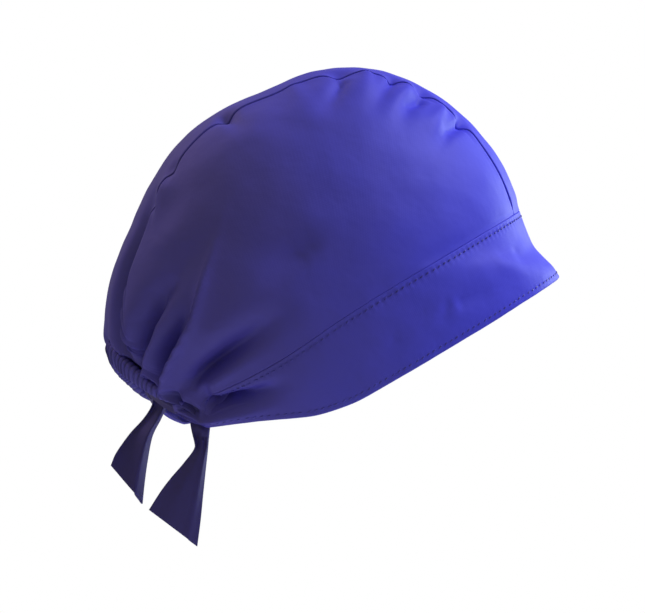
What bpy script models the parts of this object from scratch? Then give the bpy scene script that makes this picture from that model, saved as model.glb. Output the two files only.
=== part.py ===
"""A cloth scrub cap in the shape that it has on a head, with its two tie ends hanging.

Metres, +X to the forehead, +Y to the wearer's left, +Z up. The origin is the middle of the head opening.
The cap is worked out in its own directions first: `forward` and `up` from the plane of the band's hem.
That plane is then tipped back by HEAD_TILT, so that the forehead is higher than the nape.
"""
import math
from collections import namedtuple

import bmesh
import bpy
from mathutils import Matrix, Vector

# Driving sizes
CAP_LENGTH = 0.210          # the head opening, from the hem at the forehead to the nape
CAP_WIDTH = 0.166           # widest, above the ears
CROWN_HEIGHT = 0.163        # top of the crown above the plane of the hem
HEAD_TILT = math.radians(30.0)
BAND_HEIGHT = 0.040
STRIP_WIDTH = 0.066         # the centre panel over the top of the crown
CROWN_CLOTH = 0.0018        # two layers with air between them
BAND_CLOTH = 0.0024         # the band is folded double
SEAM_GAP = 0.0003           # between neighbouring pieces
FOLD_DEPTH = 0.0110         # the deepest fold
SEAM_HOLD = 0.70            # share of a fold's height that a seam takes away right beside it
ELASTIC_WIDTH = 0.0148      # the gathered channel, across
ELASTIC_THICKNESS = 0.0042
RIB_DEPTH = 0.0010          # one gather of the channel
RIB_COUNT = 42
CASING_REACH = 0.985        # the channel's length, as a share of the distance between the band's ends
CASING_TAPER = 0.78         # how much narrower the channel is at its ends
CASING_THINNING = 0.35      # how much thinner it is there
NAPE_RISE = 0.050           # how far the channel arches up between the band's ends
NAPE_POWER = 1.7             # 1 would make the arch a sharp roof, 2 a round one
TIE_WIDTH = 0.0105
TIE_THICKNESS = 0.0028
KNOT_SIZE = 0.0108
KNOT_DEEP = 0.36            # half the knot's depth and height, as shares of its size
KNOT_TALL = 0.42
KNOT_WAIST = 0.14           # how far the turn round the knot's middle pulls in, as a share of its size
KNOT_TURNS = 0.07           # height of the wraps round the knot, as a share of its size
TAIL_CLOTH = 0.0018
TAIL_WIDTH = 0.0300         # a tie's cut end
BAND_SHARE = 0.80           # share of a side panel's columns that end at the band, the rest at the channel
RIGHT_TAIL_DROP = 0.0585
LEFT_TAIL_DROP = 0.0500

# The cap's middle line seen from the side, as shares of CAP_LENGTH and CROWN_HEIGHT, going round from
# the forehead's hem over the top to the nape and back under the head.
ProfilePoint = namedtuple("ProfilePoint", "forward up")
PROFILE = [
    ProfilePoint(0.490, 0.000),      # hem at the forehead, flared outwards
    ProfilePoint(0.470, 0.125),
    ProfilePoint(0.480, 0.245),      # seam between band and crown
    ProfilePoint(0.497, 0.405),
    ProfilePoint(0.478, 0.585),
    ProfilePoint(0.418, 0.755),
    ProfilePoint(0.325, 0.886),
    ProfilePoint(0.203, 0.961),
    ProfilePoint(0.072, 0.986),
    ProfilePoint(-0.048, 1.000),     # top of the crown
    ProfilePoint(-0.166, 0.976),
    ProfilePoint(-0.275, 0.910),
    ProfilePoint(-0.372, 0.820),
    ProfilePoint(-0.472, 0.720),
    ProfilePoint(-0.552, 0.578),
    ProfilePoint(-0.572, 0.405),     # rearmost, over the back of the head
    ProfilePoint(-0.576, 0.157),
    ProfilePoint(-0.416, -0.274),    # from here on under the hem, only to close the curve
    ProfilePoint(-0.048, -0.491),
    ProfilePoint(0.293, -0.355),
]
MIDDLE = ProfilePoint(-0.048, 0.405)     # the crown is a star shape seen from here
SIDE_POWER = 2.2                         # 2 would make every cross section an ellipse
FRONT_ANGLES = (-60.0, 30.0)             # the search for the band's seam, round the middle from the forehead
BACK_ANGLES = (120.0, 225.0)             # the search for the channel, down the back of the head
NAPE_ANGLES = (150.0, 240.0)             # the search for the ties, below the channel

# The band's hem and seam, by the turn from the forehead in degrees, as shares of BAND_HEIGHT.
BandRow = namedtuple("BandRow", "turn hem seam")
BAND_ROWS = [
    BandRow(0.0, 0.00, 1.03),
    BandRow(20.0, 0.05, 1.06),
    BandRow(45.0, 0.085, 1.10),
    BandRow(75.0, 0.095, 1.12),
    BandRow(95.0, 0.10, 1.10),
    BandRow(106.0, 0.12, 1.06),
    BandRow(116.0, 0.22, 1.03),
    BandRow(126.0, 0.42, 1.03),
    BandRow(136.0, 0.60, 1.05),
    BandRow(145.0, 0.72, 1.06),
]
BAND_TURN = BAND_ROWS[-1].turn           # where the band ends and the tie begins

# Half the centre panel's width, by the angle round the crown's middle in degrees from the forehead,
# as shares of STRIP_WIDTH.
StripRow = namedtuple("StripRow", "angle half")
STRIP_ROWS = [
    StripRow(-25.0, 0.580),
    StripRow(15.0, 0.560),
    StripRow(45.0, 0.480),
    StripRow(80.0, 0.420),
    StripRow(125.0, 0.450),
    StripRow(165.0, 0.490),
    StripRow(205.0, 0.480),
]

# Folds of the cloth, seen from the side: three points of each fold's line as shares of CAP_LENGTH
# (forward) and CROWN_HEIGHT (up), its half width as a share of CAP_LENGTH, and its height as a share of
# FOLD_DEPTH, which is below zero for a valley. A fold is strongest near its first point and fades to its last.
Fold = namedtuple("Fold", "forward_1 up_1 forward_2 up_2 forward_3 up_3 width height")
RIGHT_FOLDS = [
    Fold(-0.552, 0.450, -0.515, 0.570, -0.441, 0.711, 0.030, 0.55),      # bulge beside the back seam
    Fold(-0.537, 0.443, -0.500, 0.510, -0.442, 0.586, 0.020, -0.50),
    Fold(-0.549, 0.424, -0.485, 0.505, -0.420, 0.589, 0.020, 0.50),      # short ridge at the elastic
    Fold(-0.537, 0.372, -0.480, 0.440, -0.408, 0.480, 0.024, -0.55),
    Fold(-0.460, 0.521, -0.370, 0.610, -0.273, 0.687, 0.042, -0.45),
    Fold(-0.537, 0.323, -0.420, 0.435, -0.270, 0.655, 0.026, 0.80),      # long ridge, the highest
    Fold(-0.493, 0.309, -0.380, 0.346, -0.200, 0.367, 0.034, -0.90),     # broad valley over the seam
    Fold(-0.491, 0.268, -0.383, 0.287, -0.221, 0.330, 0.022, 0.40),
    Fold(-0.160, 0.400, -0.120, 0.620, -0.020, 0.800, 0.080, -0.25),     # soft hollow above the ear
]
LEFT_FOLDS = [
    Fold(-0.552, 0.450, -0.500, 0.590, -0.410, 0.730, 0.030, 0.50),
    Fold(-0.530, 0.420, -0.470, 0.540, -0.380, 0.640, 0.024, -0.45),
    Fold(-0.540, 0.370, -0.460, 0.455, -0.350, 0.560, 0.024, 0.65),
    Fold(-0.515, 0.335, -0.420, 0.385, -0.290, 0.450, 0.028, -0.75),
    Fold(-0.500, 0.290, -0.390, 0.310, -0.230, 0.350, 0.024, 0.50),
]
BAND_FOLDS = [
    Fold(-0.476, 0.241, -0.400, 0.186, -0.275, 0.175, 0.018, -0.55),
    Fold(-0.482, 0.219, -0.426, 0.165, -0.340, 0.135, 0.014, 0.40),
    Fold(0.258, 0.164, 0.225, 0.155, 0.195, 0.140, 0.030, -0.15),
]
# Puckers pull the crown's two top seams inwards and run a short way down the side panel.
TOP_PUCKERS = [
    Fold(0.414, 0.585, 0.388, 0.582, 0.351, 0.569, 0.022, -0.50),
    Fold(0.359, 0.713, 0.332, 0.716, 0.290, 0.705, 0.022, -0.50),
    Fold(0.320, 0.810, 0.286, 0.782, 0.240, 0.755, 0.022, -0.35),
    Fold(0.213, 0.879, 0.172, 0.857, 0.130, 0.830, 0.026, -0.55),
    Fold(0.123, 0.933, 0.098, 0.898, 0.071, 0.845, 0.030, -0.25),
    Fold(-0.077, 0.964, -0.060, 0.943, -0.037, 0.909, 0.026, -0.25),
    Fold(-0.232, 0.938, -0.236, 0.902, -0.229, 0.860, 0.030, -0.25),
]
# The centre panel sinks beside each of its two seams over the nape, as shares of FOLD_DEPTH.
BackHollow = namedtuple("BackHollow", "angle depth")
HOLLOW_ROWS = [
    BackHollow(115.0, 0.00),
    BackHollow(140.0, 0.30),
    BackHollow(160.0, 0.70),
    BackHollow(180.0, 0.60),
    BackHollow(200.0, 0.30),
]

# A tie's way from the band's end to the knot, as shares of half the band ends' distance (across), of
# NAPE_RISE (up, from the band end's middle) and of TIE_WIDTH (wide).
TieStation = namedtuple("TieStation", "across up out wide")
TIE_STATIONS = [
    TieStation(0.955, -0.03, 0.00, 0.90),
    TieStation(0.850, 0.05, -0.07, 0.84),
    TieStation(0.680, 0.16, -0.28, 0.78),
    TieStation(0.500, 0.24, -0.48, 0.74),
    TieStation(0.340, 0.31, -0.60, 0.72),
    TieStation(0.200, 0.36, -0.66, 0.70),
]

# A tail's two edges below the line that it hangs from: how far down they are as shares of its drop and how
# far back as shares of TAIL_WIDTH, from the middle of that line; how far it swings out to the side and how
# deep the fold along it is, as shares of TAIL_WIDTH too. The last row is the cut end.
TailRow = namedtuple("TailRow", "front_down front_back rear_down rear_back out crease")
RIGHT_TAIL = [
    TailRow(0.00, -0.170, 0.00, 0.180, 0.00, 0.02),
    TailRow(0.14, -0.130, 0.14, 0.080, 0.02, 0.06),
    TailRow(0.23, -0.117, 0.22, 0.050, 0.03, 0.08),
    TailRow(0.39, -0.090, 0.34, 0.233, 0.04, 0.10),
    TailRow(0.57, -0.067, 0.44, 0.430, 0.05, 0.10),
    TailRow(0.79, -0.043, 0.55, 0.607, 0.05, 0.08),
    TailRow(1.00, 0.000, 0.716, 0.800, 0.04, 0.06),
]
LEFT_TAIL = [
    TailRow(0.00, -0.103, 0.00, 0.103, 0.00, 0.04),
    TailRow(0.12, -0.100, 0.11, 0.150, -0.02, 0.10),
    TailRow(0.23, -0.043, 0.22, 0.290, -0.04, 0.14),
    TailRow(0.37, 0.047, 0.33, 0.447, -0.05, 0.16),
    TailRow(0.63, 0.127, 0.45, 0.623, -0.05, 0.14),
    TailRow(0.82, 0.167, 0.54, 0.717, -0.04, 0.10),
    TailRow(1.00, 0.188, 0.62, 0.772, -0.03, 0.08),
]


def smooth_curve(keys, values, period=None):
    """A function through (key, value) rows without overshoot at uneven rows; it may repeat."""
    keys = list(keys)
    values = list(values)
    if period:
        keys = [keys[-1] - period] + keys + [keys[0] + period, keys[1] + period]
        values = [values[-1]] + values + [values[0], values[1]]
    slopes = []
    for i in range(len(keys)):
        low = max(i - 1, 0)
        high = min(i + 1, len(keys) - 1)
        slopes.append((values[high] - values[low]) / (keys[high] - keys[low]))

    def value_at(key):
        if period:
            key = keys[1] + (key - keys[1]) % period
        key = min(max(key, keys[0]), keys[-1])
        i = max(j for j in range(len(keys) - 1) if keys[j] <= key)
        step = keys[i + 1] - keys[i]
        s = (key - keys[i]) / step
        return (
            (2 * s**3 - 3 * s**2 + 1) * values[i]
            + (s**3 - 2 * s**2 + s) * step * slopes[i]
            + (3 * s**2 - 2 * s**3) * values[i + 1]
            + (s**3 - s**2) * step * slopes[i + 1]
        )

    return value_at


def profile_angle(point):
    return math.degrees(math.atan2(point.up - MIDDLE.up, point.forward - MIDDLE.forward))


def profile_reach():
    rows = [
        (profile_angle(p) % 360.0, math.hypot(p.forward - MIDDLE.forward, p.up - MIDDLE.up)) for p in PROFILE
    ]
    rows.sort()
    return smooth_curve([r[0] for r in rows], [r[1] for r in rows], period=360.0)


REACH = profile_reach()
HEM = smooth_curve([r.turn for r in BAND_ROWS], [r.hem for r in BAND_ROWS])
SEAM = smooth_curve([r.turn for r in BAND_ROWS], [r.seam for r in BAND_ROWS])
STRIP_HALF = smooth_curve([r.angle for r in STRIP_ROWS], [r.half for r in STRIP_ROWS])
HOLLOW = smooth_curve([r.angle for r in HOLLOW_ROWS], [r.depth for r in HOLLOW_ROWS])

# The sizes of the unit cap, along forward, across and up
SCALE = Vector((CAP_LENGTH, CAP_WIDTH / 2, CROWN_HEIGHT))
UNIT_MIDDLE = Vector((MIDDLE.forward, 0.0, MIDDLE.up))
CROWN_MIDDLE = Vector((MIDDLE.forward * CAP_LENGTH, 0.0, MIDDLE.up * CROWN_HEIGHT))


def real(unit):
    return Vector((unit.x * SCALE.x, unit.y * SCALE.y, unit.z * SCALE.z))


def fan_point(angle, across):
    """The unit cap's surface point at an angle round the middle and a share of the half width."""
    shrink = max(0.0, 1.0 - abs(across) ** SIDE_POWER) ** (1.0 / SIDE_POWER)
    reach = REACH(angle) * shrink
    turn = math.radians(angle)
    return UNIT_MIDDLE + Vector((reach * math.cos(turn), across, reach * math.sin(turn)))


def along_ray(direction):
    """The unit cap's surface point straight out from its middle."""
    side = math.hypot(direction.x, direction.z)
    angle = math.degrees(math.atan2(direction.z, direction.x))
    size = ((side / REACH(angle)) ** SIDE_POWER + abs(direction.y) ** SIDE_POWER) ** (1.0 / SIDE_POWER)
    return UNIT_MIDDLE + direction / size


def level_point(turn, up):
    """The unit cap's surface point at a height, at a turn from the forehead: 90 is the wearer's left."""
    angle = math.radians(turn)
    near, far = 0.0, 2.0
    for _ in range(40):
        reach = (near + far) / 2
        probe = Vector((reach * math.cos(angle) / 2, reach * math.sin(angle), up - UNIT_MIDDLE.z))
        if (along_ray(probe) - UNIT_MIDDLE).length > probe.length:
            near = reach
        else:
            far = reach
    return UNIT_MIDDLE + probe


def turn_of(unit):
    """The turn from the forehead at which level_point gives a surface point."""
    return math.degrees(math.atan2(unit.y, 2 * (unit.x - UNIT_MIDDLE.x)))


def nape_up(across):
    """The height of the channel's upper edge, at a share of the half width."""
    end = abs(band_end(1).y)
    share = min(abs(across) / end, 1.0)
    return (SEAM(BAND_TURN) * BAND_HEIGHT + NAPE_RISE * (1.0 - share**NAPE_POWER)) / CROWN_HEIGHT


def band_end(side):
    return level_point(side * BAND_TURN, SEAM(BAND_TURN) * BAND_HEIGHT / CROWN_HEIGHT)


def fade(share):
    """Full at 0, none at 1, level at both."""
    share = min(max(share, 0.0), 1.0)
    return 1.0 - share * share * (3.0 - 2.0 * share)


def gathered(share):
    """A fold is held low at the seam that gathers it, and stands free a short way on."""
    return 1.0 - SEAM_HOLD * fade(share)


def fold_push(folds, forward, up):
    """How far the folds of a table lift the cloth at a place seen from the side."""
    push = 0.0
    here = Vector((forward * CAP_LENGTH, up * CROWN_HEIGHT))
    for fold in folds:
        stops = [
            Vector((fold.forward_1 * CAP_LENGTH, fold.up_1 * CROWN_HEIGHT)),
            Vector((fold.forward_2 * CAP_LENGTH, fold.up_2 * CROWN_HEIGHT)),
            Vector((fold.forward_3 * CAP_LENGTH, fold.up_3 * CROWN_HEIGHT)),
        ]
        best = None
        for leg in range(2):
            step = stops[leg + 1] - stops[leg]
            share = min(max((here - stops[leg]).dot(step) / step.length_squared, 0.0), 1.0)
            away = (here - stops[leg] - step * share).length
            if best is None or away < best[0]:
                best = (away, (leg + share) / 2)
        away, share = best
        strength = fade(share) * gathered(share / 0.18)
        push += fold.height * FOLD_DEPTH * math.exp(-((away / (fold.width * CAP_LENGTH)) ** 2)) * strength
    return push


def lifted(unit, push):
    """A surface point in the cap's own metres, pushed straight away from the crown's middle."""
    point = real(unit)
    return point + (point - CROWN_MIDDLE).normalized() * push


def side_surface(unit, side, hold):
    folds = RIGHT_FOLDS if side < 0 else LEFT_FOLDS
    push = fold_push(folds, unit.x, unit.z) * hold + fold_push(TOP_PUCKERS, unit.x, unit.z)
    return lifted(unit, push)


def worn(point):
    """From the cap's own directions to the way it sits on the head."""
    return Matrix.Rotation(-HEAD_TILT, 3, "Y") @ point


def hung(direction):
    """A direction as worn, such as straight down, in the cap's own directions."""
    return Matrix.Rotation(HEAD_TILT, 3, "Y") @ direction


def material(name, colour, roughness):
    made = bpy.data.materials.new(name)
    made.use_nodes = True
    shader = made.node_tree.nodes["Principled BSDF"]
    shader.inputs["Base Color"].default_value = (*colour, 1.0)
    shader.inputs["Roughness"].default_value = roughness
    shader.inputs["Metallic"].default_value = 0.0
    return made


def add_object(name, bm, finish):
    """Turn a finished bmesh, in the cap's own directions, into a named object as worn."""
    for vert in bm.verts:
        vert.co = worn(vert.co)
    bmesh.ops.recalc_face_normals(bm, faces=bm.faces)
    bmesh.ops.triangulate(bm, faces=bm.faces)
    mesh = bpy.data.meshes.new(name)
    bm.to_mesh(mesh)
    bm.free()
    mesh.shade_smooth()
    mesh.materials.append(finish)
    made = bpy.data.objects.new(name, mesh)
    bpy.context.collection.objects.link(made)
    return made


def towards_middle(point):
    return (CROWN_MIDDLE - point).normalized()


def cloth_wall(name, columns, rows, outside, wall, finish, inward=towards_middle):
    """A closed thin wall: a grid bent by outside(a, b), and a copy of it one wall further in."""
    bm = bmesh.new()
    bmesh.ops.create_grid(bm, x_segments=columns, y_segments=rows, size=0.5)
    for vert in bm.verts:
        vert.co = outside(vert.co.x + 0.5, vert.co.y + 0.5)
    bmesh.ops.remove_doubles(bm, verts=bm.verts, dist=1e-5)
    inner = bmesh.ops.extrude_face_region(bm, geom=bm.faces[:], use_keep_orig=True)
    for part in inner["geom"]:
        if isinstance(part, bmesh.types.BMVert):
            part.co += inward(part.co) * wall
    return add_object(name, bm, finish)


def front_band(finish):
    gap_up = SEAM_GAP / 2 / CROWN_HEIGHT

    def outside(a, b):
        turn = (2 * a - 1) * BAND_TURN
        low = HEM(abs(turn)) * BAND_HEIGHT / CROWN_HEIGHT
        high = SEAM(abs(turn)) * BAND_HEIGHT / CROWN_HEIGHT - gap_up
        unit = level_point(turn, low + (high - low) * b)
        return lifted(unit, fold_push(BAND_FOLDS, unit.x, unit.z))

    return cloth_wall("front_band", 64, 4, outside, BAND_CLOTH, finish)


def strip_edge(angle):
    return STRIP_HALF(angle) * STRIP_WIDTH / (CAP_WIDTH / 2)


def angle_at_height(across, height_at, limits):
    """The angle where a line at a share of the half width passes a height, between two angles."""
    low, high = limits
    rising = fan_point(high, across).z > fan_point(low, across).z
    for _ in range(30):
        angle = (low + high) / 2
        if (fan_point(angle, across).z < height_at) == rising:
            low = angle
        else:
            high = angle
    return angle


def strip_ends(share):
    """Where the centre panel meets the band and the channel, at a share of its half width."""
    front = back = 0.0
    for _ in range(8):
        corner = fan_point(front, share * strip_edge(front))
        seam_up = (SEAM(turn_of(corner)) * BAND_HEIGHT + SEAM_GAP / 2) / CROWN_HEIGHT
        front = angle_at_height(corner.y, seam_up, FRONT_ANGLES)
        across = share * strip_edge(back)
        back = angle_at_height(across, nape_up(across) + SEAM_GAP / CROWN_HEIGHT, BACK_ANGLES)
    return front, back


def centre_panel(finish):
    gap = SEAM_GAP / 2 / (CAP_WIDTH / 2)
    ends = {}

    def outside(a, b):
        share = 2 * b - 1
        key = round(abs(share), 4)
        if key not in ends:
            ends[key] = strip_ends(key)
        front, back = ends[key]
        angle = front + (back - front) * a
        across = share * (strip_edge(angle) - gap)
        unit = fan_point(angle, across)
        edge = abs(share) ** 2
        push = fold_push(TOP_PUCKERS, unit.x, unit.z) * edge
        sides = RIGHT_FOLDS if share < 0 else LEFT_FOLDS
        push += fold_push(sides, unit.x, unit.z) * edge
        sunk = HOLLOW(angle) * math.exp(-(((abs(share) - 0.62) / 0.26) ** 2))
        push -= sunk * FOLD_DEPTH * gathered((1 - a) / 0.10)
        return lifted(unit, push)

    return cloth_wall("centre_panel", 42, 8, outside, CROWN_CLOTH, finish)


def side_panel(name, side, columns, finish):
    """A D-shaped panel between its lower edge (band seam, then channel) and the arched top seam."""
    gap = SEAM_GAP / 2 / (CAP_WIDTH / 2)
    front, back = strip_ends(1.0)
    seam_gap = SEAM_GAP / 2 / CROWN_HEIGHT
    start_turn = turn_of(fan_point(front, strip_edge(front) + gap))
    back_across = strip_edge(back)
    end_across = abs(band_end(1).y)

    def lower(a):
        if a < BAND_SHARE:
            turn = start_turn + (BAND_TURN - start_turn) * a / BAND_SHARE
            return level_point(side * turn, SEAM(turn) * BAND_HEIGHT / CROWN_HEIGHT + seam_gap)
        share = (a - BAND_SHARE) / (1 - BAND_SHARE)
        across = end_across + (back_across + gap - end_across) * share
        height = nape_up(across) + SEAM_GAP / CROWN_HEIGHT
        return fan_point(angle_at_height(across, height, BACK_ANGLES), side * across)

    def upper(a):
        angle = front + (back - front) * a
        return fan_point(angle, side * (strip_edge(angle) + gap))

    def outside(a, b):
        a = 1 - (1 - a) ** 1.5           # closer columns where the folds are
        b = b**1.2
        start = lower(a) - UNIT_MIDDLE
        end = upper(a) - UNIT_MIDDLE
        hold = gathered(b / 0.10)
        if (end - start).length < 1e-4:
            return side_surface(upper(a), side, hold)
        way = start.normalized().slerp(end.normalized(), b)
        return side_surface(along_ray(way), side, hold)

    return cloth_wall(name, columns, 18, outside, CROWN_CLOTH, finish)


def sweep(name, rings, finish):
    """A closed tube through rings of equal length, with flat ends."""
    steps = len(rings) - 1
    sides = len(rings[0])
    bm = bmesh.new()
    bmesh.ops.create_grid(bm, x_segments=steps, y_segments=sides, size=0.5)
    for vert in bm.verts:
        ring = rings[round((vert.co.x + 0.5) * steps)]
        vert.co = ring[round((vert.co.y + 0.5) * sides) % sides]
    bmesh.ops.remove_doubles(bm, verts=bm.verts, dist=1e-6)
    bmesh.ops.holes_fill(bm, edges=bm.edges, sides=sides)
    return add_object(name, bm, finish)


def flat_ring(middle, wide_way, thin_way, width, thickness, sides=10):
    """An oval ring with blunt ends across a strap."""
    ring = []
    for i in range(sides):
        angle = 2 * math.pi * i / sides
        wide = abs(math.cos(angle)) ** 0.6 * math.copysign(width / 2, math.cos(angle))
        thin = abs(math.sin(angle)) ** 0.8 * math.copysign(thickness / 2, math.sin(angle))
        ring.append(middle + wide_way * wide + thin_way * thin)
    return ring


def elastic_casing(finish):
    end_across = abs(band_end(1).y)
    steps = RIB_COUNT * 2
    rings = []

    def upper_edge(share):
        across = share * end_across * CASING_REACH
        return real(fan_point(angle_at_height(abs(across), nape_up(across), BACK_ANGLES), across))

    for i in range(steps + 1):
        share = -1 + 2 * i / steps
        top = upper_edge(share)
        ahead = (upper_edge(min(share + 0.02, 1.0)) - upper_edge(max(share - 0.02, -1.0))).normalized()
        out = (top - CROWN_MIDDLE).normalized()
        down = out.cross(ahead).normalized()
        if down.z > 0:
            down.negate()
        out = ahead.cross(down).normalized()
        if out.dot(top - CROWN_MIDDLE) < 0:
            out.negate()
        width = ELASTIC_WIDTH * (1.0 - CASING_TAPER * abs(share) ** 4)
        rib = RIB_DEPTH * (1 if i % 2 else -1)
        thickness = ELASTIC_THICKNESS * (1.0 - CASING_THINNING * abs(share) ** 4) + rib
        proud = (ELASTIC_THICKNESS / 2 - CROWN_CLOTH) * (1 - share * share)
        middle = top + down * (width / 2 + SEAM_GAP) + out * proud
        rings.append(flat_ring(middle, down, out, width, thickness, sides=8))
    return sweep("elastic_casing", rings, finish)


def tie_place(side, station):
    """The middle of a tie at a station, in the cap's own metres."""
    end = band_end(side)
    low = HEM(BAND_TURN) * BAND_HEIGHT
    high = SEAM(BAND_TURN) * BAND_HEIGHT
    up = (low + high) / 2 + station.up * NAPE_RISE
    across = abs(end.y) * station.across
    unit_up = up / CROWN_HEIGHT
    unit = fan_point(angle_at_height(across, unit_up, NAPE_ANGLES), side * across)
    point = real(unit)
    out = Vector((point.x - CROWN_MIDDLE.x, point.y, 0.0)).normalized()
    return point + out * (station.out * TIE_WIDTH - TIE_THICKNESS / 2), out


def tie_section(side, i):
    """A tie's middle, its way down across its width, its way out and its width, at one station."""
    places = [tie_place(side, station) for station in TIE_STATIONS]
    point, out = places[i]
    before = places[max(i - 1, 0)][0]
    after = places[min(i + 1, len(places) - 1)][0]
    ahead = (after - before).normalized()
    down = out.cross(ahead).normalized()
    if down.z > 0:
        down.negate()
    return point, down, ahead.cross(down).normalized(), TIE_WIDTH * TIE_STATIONS[i].wide


def tie_lower_edge(side, i):
    point, down, _, width = tie_section(side, i)
    return point + down * width / 2


def tie(name, side, finish):
    rings = []
    for i in range(len(TIE_STATIONS)):
        point, down, out, width = tie_section(side, i)
        rings.append(flat_ring(point, down, out, width, TIE_THICKNESS))
    return sweep(name, rings, finish)


def knot_place():
    inner = tie_place(-1, TIE_STATIONS[-1])[0]
    return Vector((inner.x + 0.15 * KNOT_SIZE, 0.0, inner.z + 0.20 * KNOT_SIZE))


def tie_knot(finish):
    bm = bmesh.new()
    bmesh.ops.create_uvsphere(bm, u_segments=18, v_segments=12, radius=1.0)
    middle = knot_place()
    reach = abs(tie_place(-1, TIE_STATIONS[-1])[0].y) - SEAM_GAP
    for vert in bm.verts:
        x, y, z = vert.co
        waist = 1.0 - KNOT_WAIST * math.exp(-((y / 0.25) ** 2))
        wraps = 1.0 + KNOT_TURNS * math.cos(5.0 * math.atan2(z, x) + 3.0 * y)
        thick = KNOT_SIZE * waist * wraps
        vert.co = middle + Vector((x * thick * KNOT_DEEP, y * reach, z * thick * KNOT_TALL))
    return add_object("tie_knot", bm, finish)


def tail(name, hang_front, hang_rear, rows, drop, columns, finish):
    """A free tie end: it hangs from a short line and its two edges run down from there."""
    down = hung(Vector((0, 0, -1)))
    back = hung(Vector((-1, 0, 0)))
    out = Vector((0, -1, 0))
    top = (hang_front + hang_rear) / 2
    keys = [i / (len(rows) - 1) for i in range(len(rows))]
    edge = {field: smooth_curve(keys, [getattr(row, field) for row in rows]) for field in TailRow._fields}

    def outside(a, b):
        front = top + down * edge["front_down"](a) * drop + back * edge["front_back"](a) * TAIL_WIDTH
        rear = top + down * edge["rear_down"](a) * drop + back * edge["rear_back"](a) * TAIL_WIDTH
        ripple = math.sin(2 * math.pi * b) * 0.5 + math.sin(math.pi * b)
        swing = edge["out"](a) + edge["crease"](a) * ripple
        hanging = front.lerp(rear, b) + out * swing * TAIL_WIDTH
        return hanging.lerp(hang_front.lerp(hang_rear, b), fade(a / 0.16))

    return cloth_wall(name, columns, 6, outside, TAIL_CLOTH, finish, inward=lambda point: -out)


def tails(finish):
    down = hung(Vector((0, 0, -1)))
    back = hung(Vector((-1, 0, 0)))
    aside = Vector((0, -TAIL_CLOTH / 2, 0))
    shift = aside + down * 5 * SEAM_GAP
    hem = real(level_point(-BAND_TURN + 1.5, HEM(BAND_TURN) * BAND_HEIGHT / CROWN_HEIGHT)) + shift
    tie_edge = tie_lower_edge(-1, 0).lerp(tie_lower_edge(-1, 1), 0.6) + shift
    tail("tail_right", hem, tie_edge, RIGHT_TAIL, RIGHT_TAIL_DROP, 13, finish)
    knot = knot_place() + down * (KNOT_SIZE * KNOT_TALL * (1.0 - KNOT_WAIST) + SEAM_GAP) + aside
    half = back * KNOT_SIZE * 0.20
    tail("tail_left", knot - half, knot + half, LEFT_TAIL, LEFT_TAIL_DROP, 12, finish)


def main():
    for old in list(bpy.data.objects):
        bpy.data.objects.remove(old, do_unlink=True)
    crown_cloth = material("crown_cloth", (0.060, 0.050, 0.420), 0.62)
    band_cloth = material("band_cloth", (0.065, 0.055, 0.450), 0.60)
    tie_cloth = material("tie_cloth", (0.035, 0.030, 0.200), 0.66)
    front_band(band_cloth)
    side_panel("side_panel_right", -1, 44, crown_cloth)
    side_panel("side_panel_left", 1, 38, crown_cloth)
    centre_panel(crown_cloth)
    elastic_casing(crown_cloth)
    tie("tie_right", -1, tie_cloth)
    tie("tie_left", 1, tie_cloth)
    tie_knot(tie_cloth)
    tails(tie_cloth)


main()
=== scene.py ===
# %% [markdown]
# # A blue-violet cloth scrub cap
# This lesson dresses a plain set of solids as a sewn cap: a deep folded band, a crown of three panels,
# a gathered elastic channel at the nape and two knotted ties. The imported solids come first, because they
# fix every size and place. Each cloth piece is then made again, finer, in the very same place.

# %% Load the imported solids
import math
from collections import namedtuple

import bmesh
import bpy
from mathutils import Matrix, Vector, noise


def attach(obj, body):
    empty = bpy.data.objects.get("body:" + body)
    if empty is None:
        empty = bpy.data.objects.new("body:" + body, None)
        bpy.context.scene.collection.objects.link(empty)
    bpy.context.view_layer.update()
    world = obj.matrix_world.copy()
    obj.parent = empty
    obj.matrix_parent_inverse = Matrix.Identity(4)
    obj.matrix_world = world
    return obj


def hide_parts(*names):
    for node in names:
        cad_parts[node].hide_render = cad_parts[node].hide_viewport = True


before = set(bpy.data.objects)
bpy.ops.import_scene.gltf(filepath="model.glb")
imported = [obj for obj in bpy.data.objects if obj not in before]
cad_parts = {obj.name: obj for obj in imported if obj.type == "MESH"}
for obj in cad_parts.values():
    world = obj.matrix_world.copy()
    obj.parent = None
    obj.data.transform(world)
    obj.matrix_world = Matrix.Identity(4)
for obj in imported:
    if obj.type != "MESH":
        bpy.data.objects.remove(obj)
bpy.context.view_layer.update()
print("solids:", sorted(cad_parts))

# %% [markdown]
# ## The camera
# A product photo of a cap is taken from far away with a long lens, so that near and far parts keep their
# sizes. The lens follows from the real size of one picture point: half a millimetre here. The camera stands
# a touch below the middle of the cap and a little towards its back.

# %% Camera
PICTURE_WIDTH = 645
POINT_SIZE = 0.00052            # metres of cap for one picture point
DISTANCE = 1.4
AZIMUTH = math.radians(-9.5)
ELEVATION = math.radians(-1.5)
TARGET = Vector((-0.0357044, 0.0, 0.0361421))
SENSOR = 36.0

camera_data = bpy.data.cameras.new("camera")
camera_data.sensor_width = SENSOR
camera_data.lens = SENSOR * DISTANCE / (PICTURE_WIDTH * POINT_SIZE)
camera = bpy.data.objects.new("camera", camera_data)
bpy.context.collection.objects.link(camera)
back = Vector((
    math.sin(AZIMUTH) * math.cos(ELEVATION),
    -math.cos(AZIMUTH) * math.cos(ELEVATION),
    math.sin(ELEVATION),
))
camera.location = TARGET + back * DISTANCE
camera.rotation_euler = back.to_track_quat("Z", "Y").to_euler()
bpy.context.scene.camera = camera
print(f"camera at {[round(x, 3) for x in camera.location]}, lens {camera_data.lens:.1f} mm")

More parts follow.
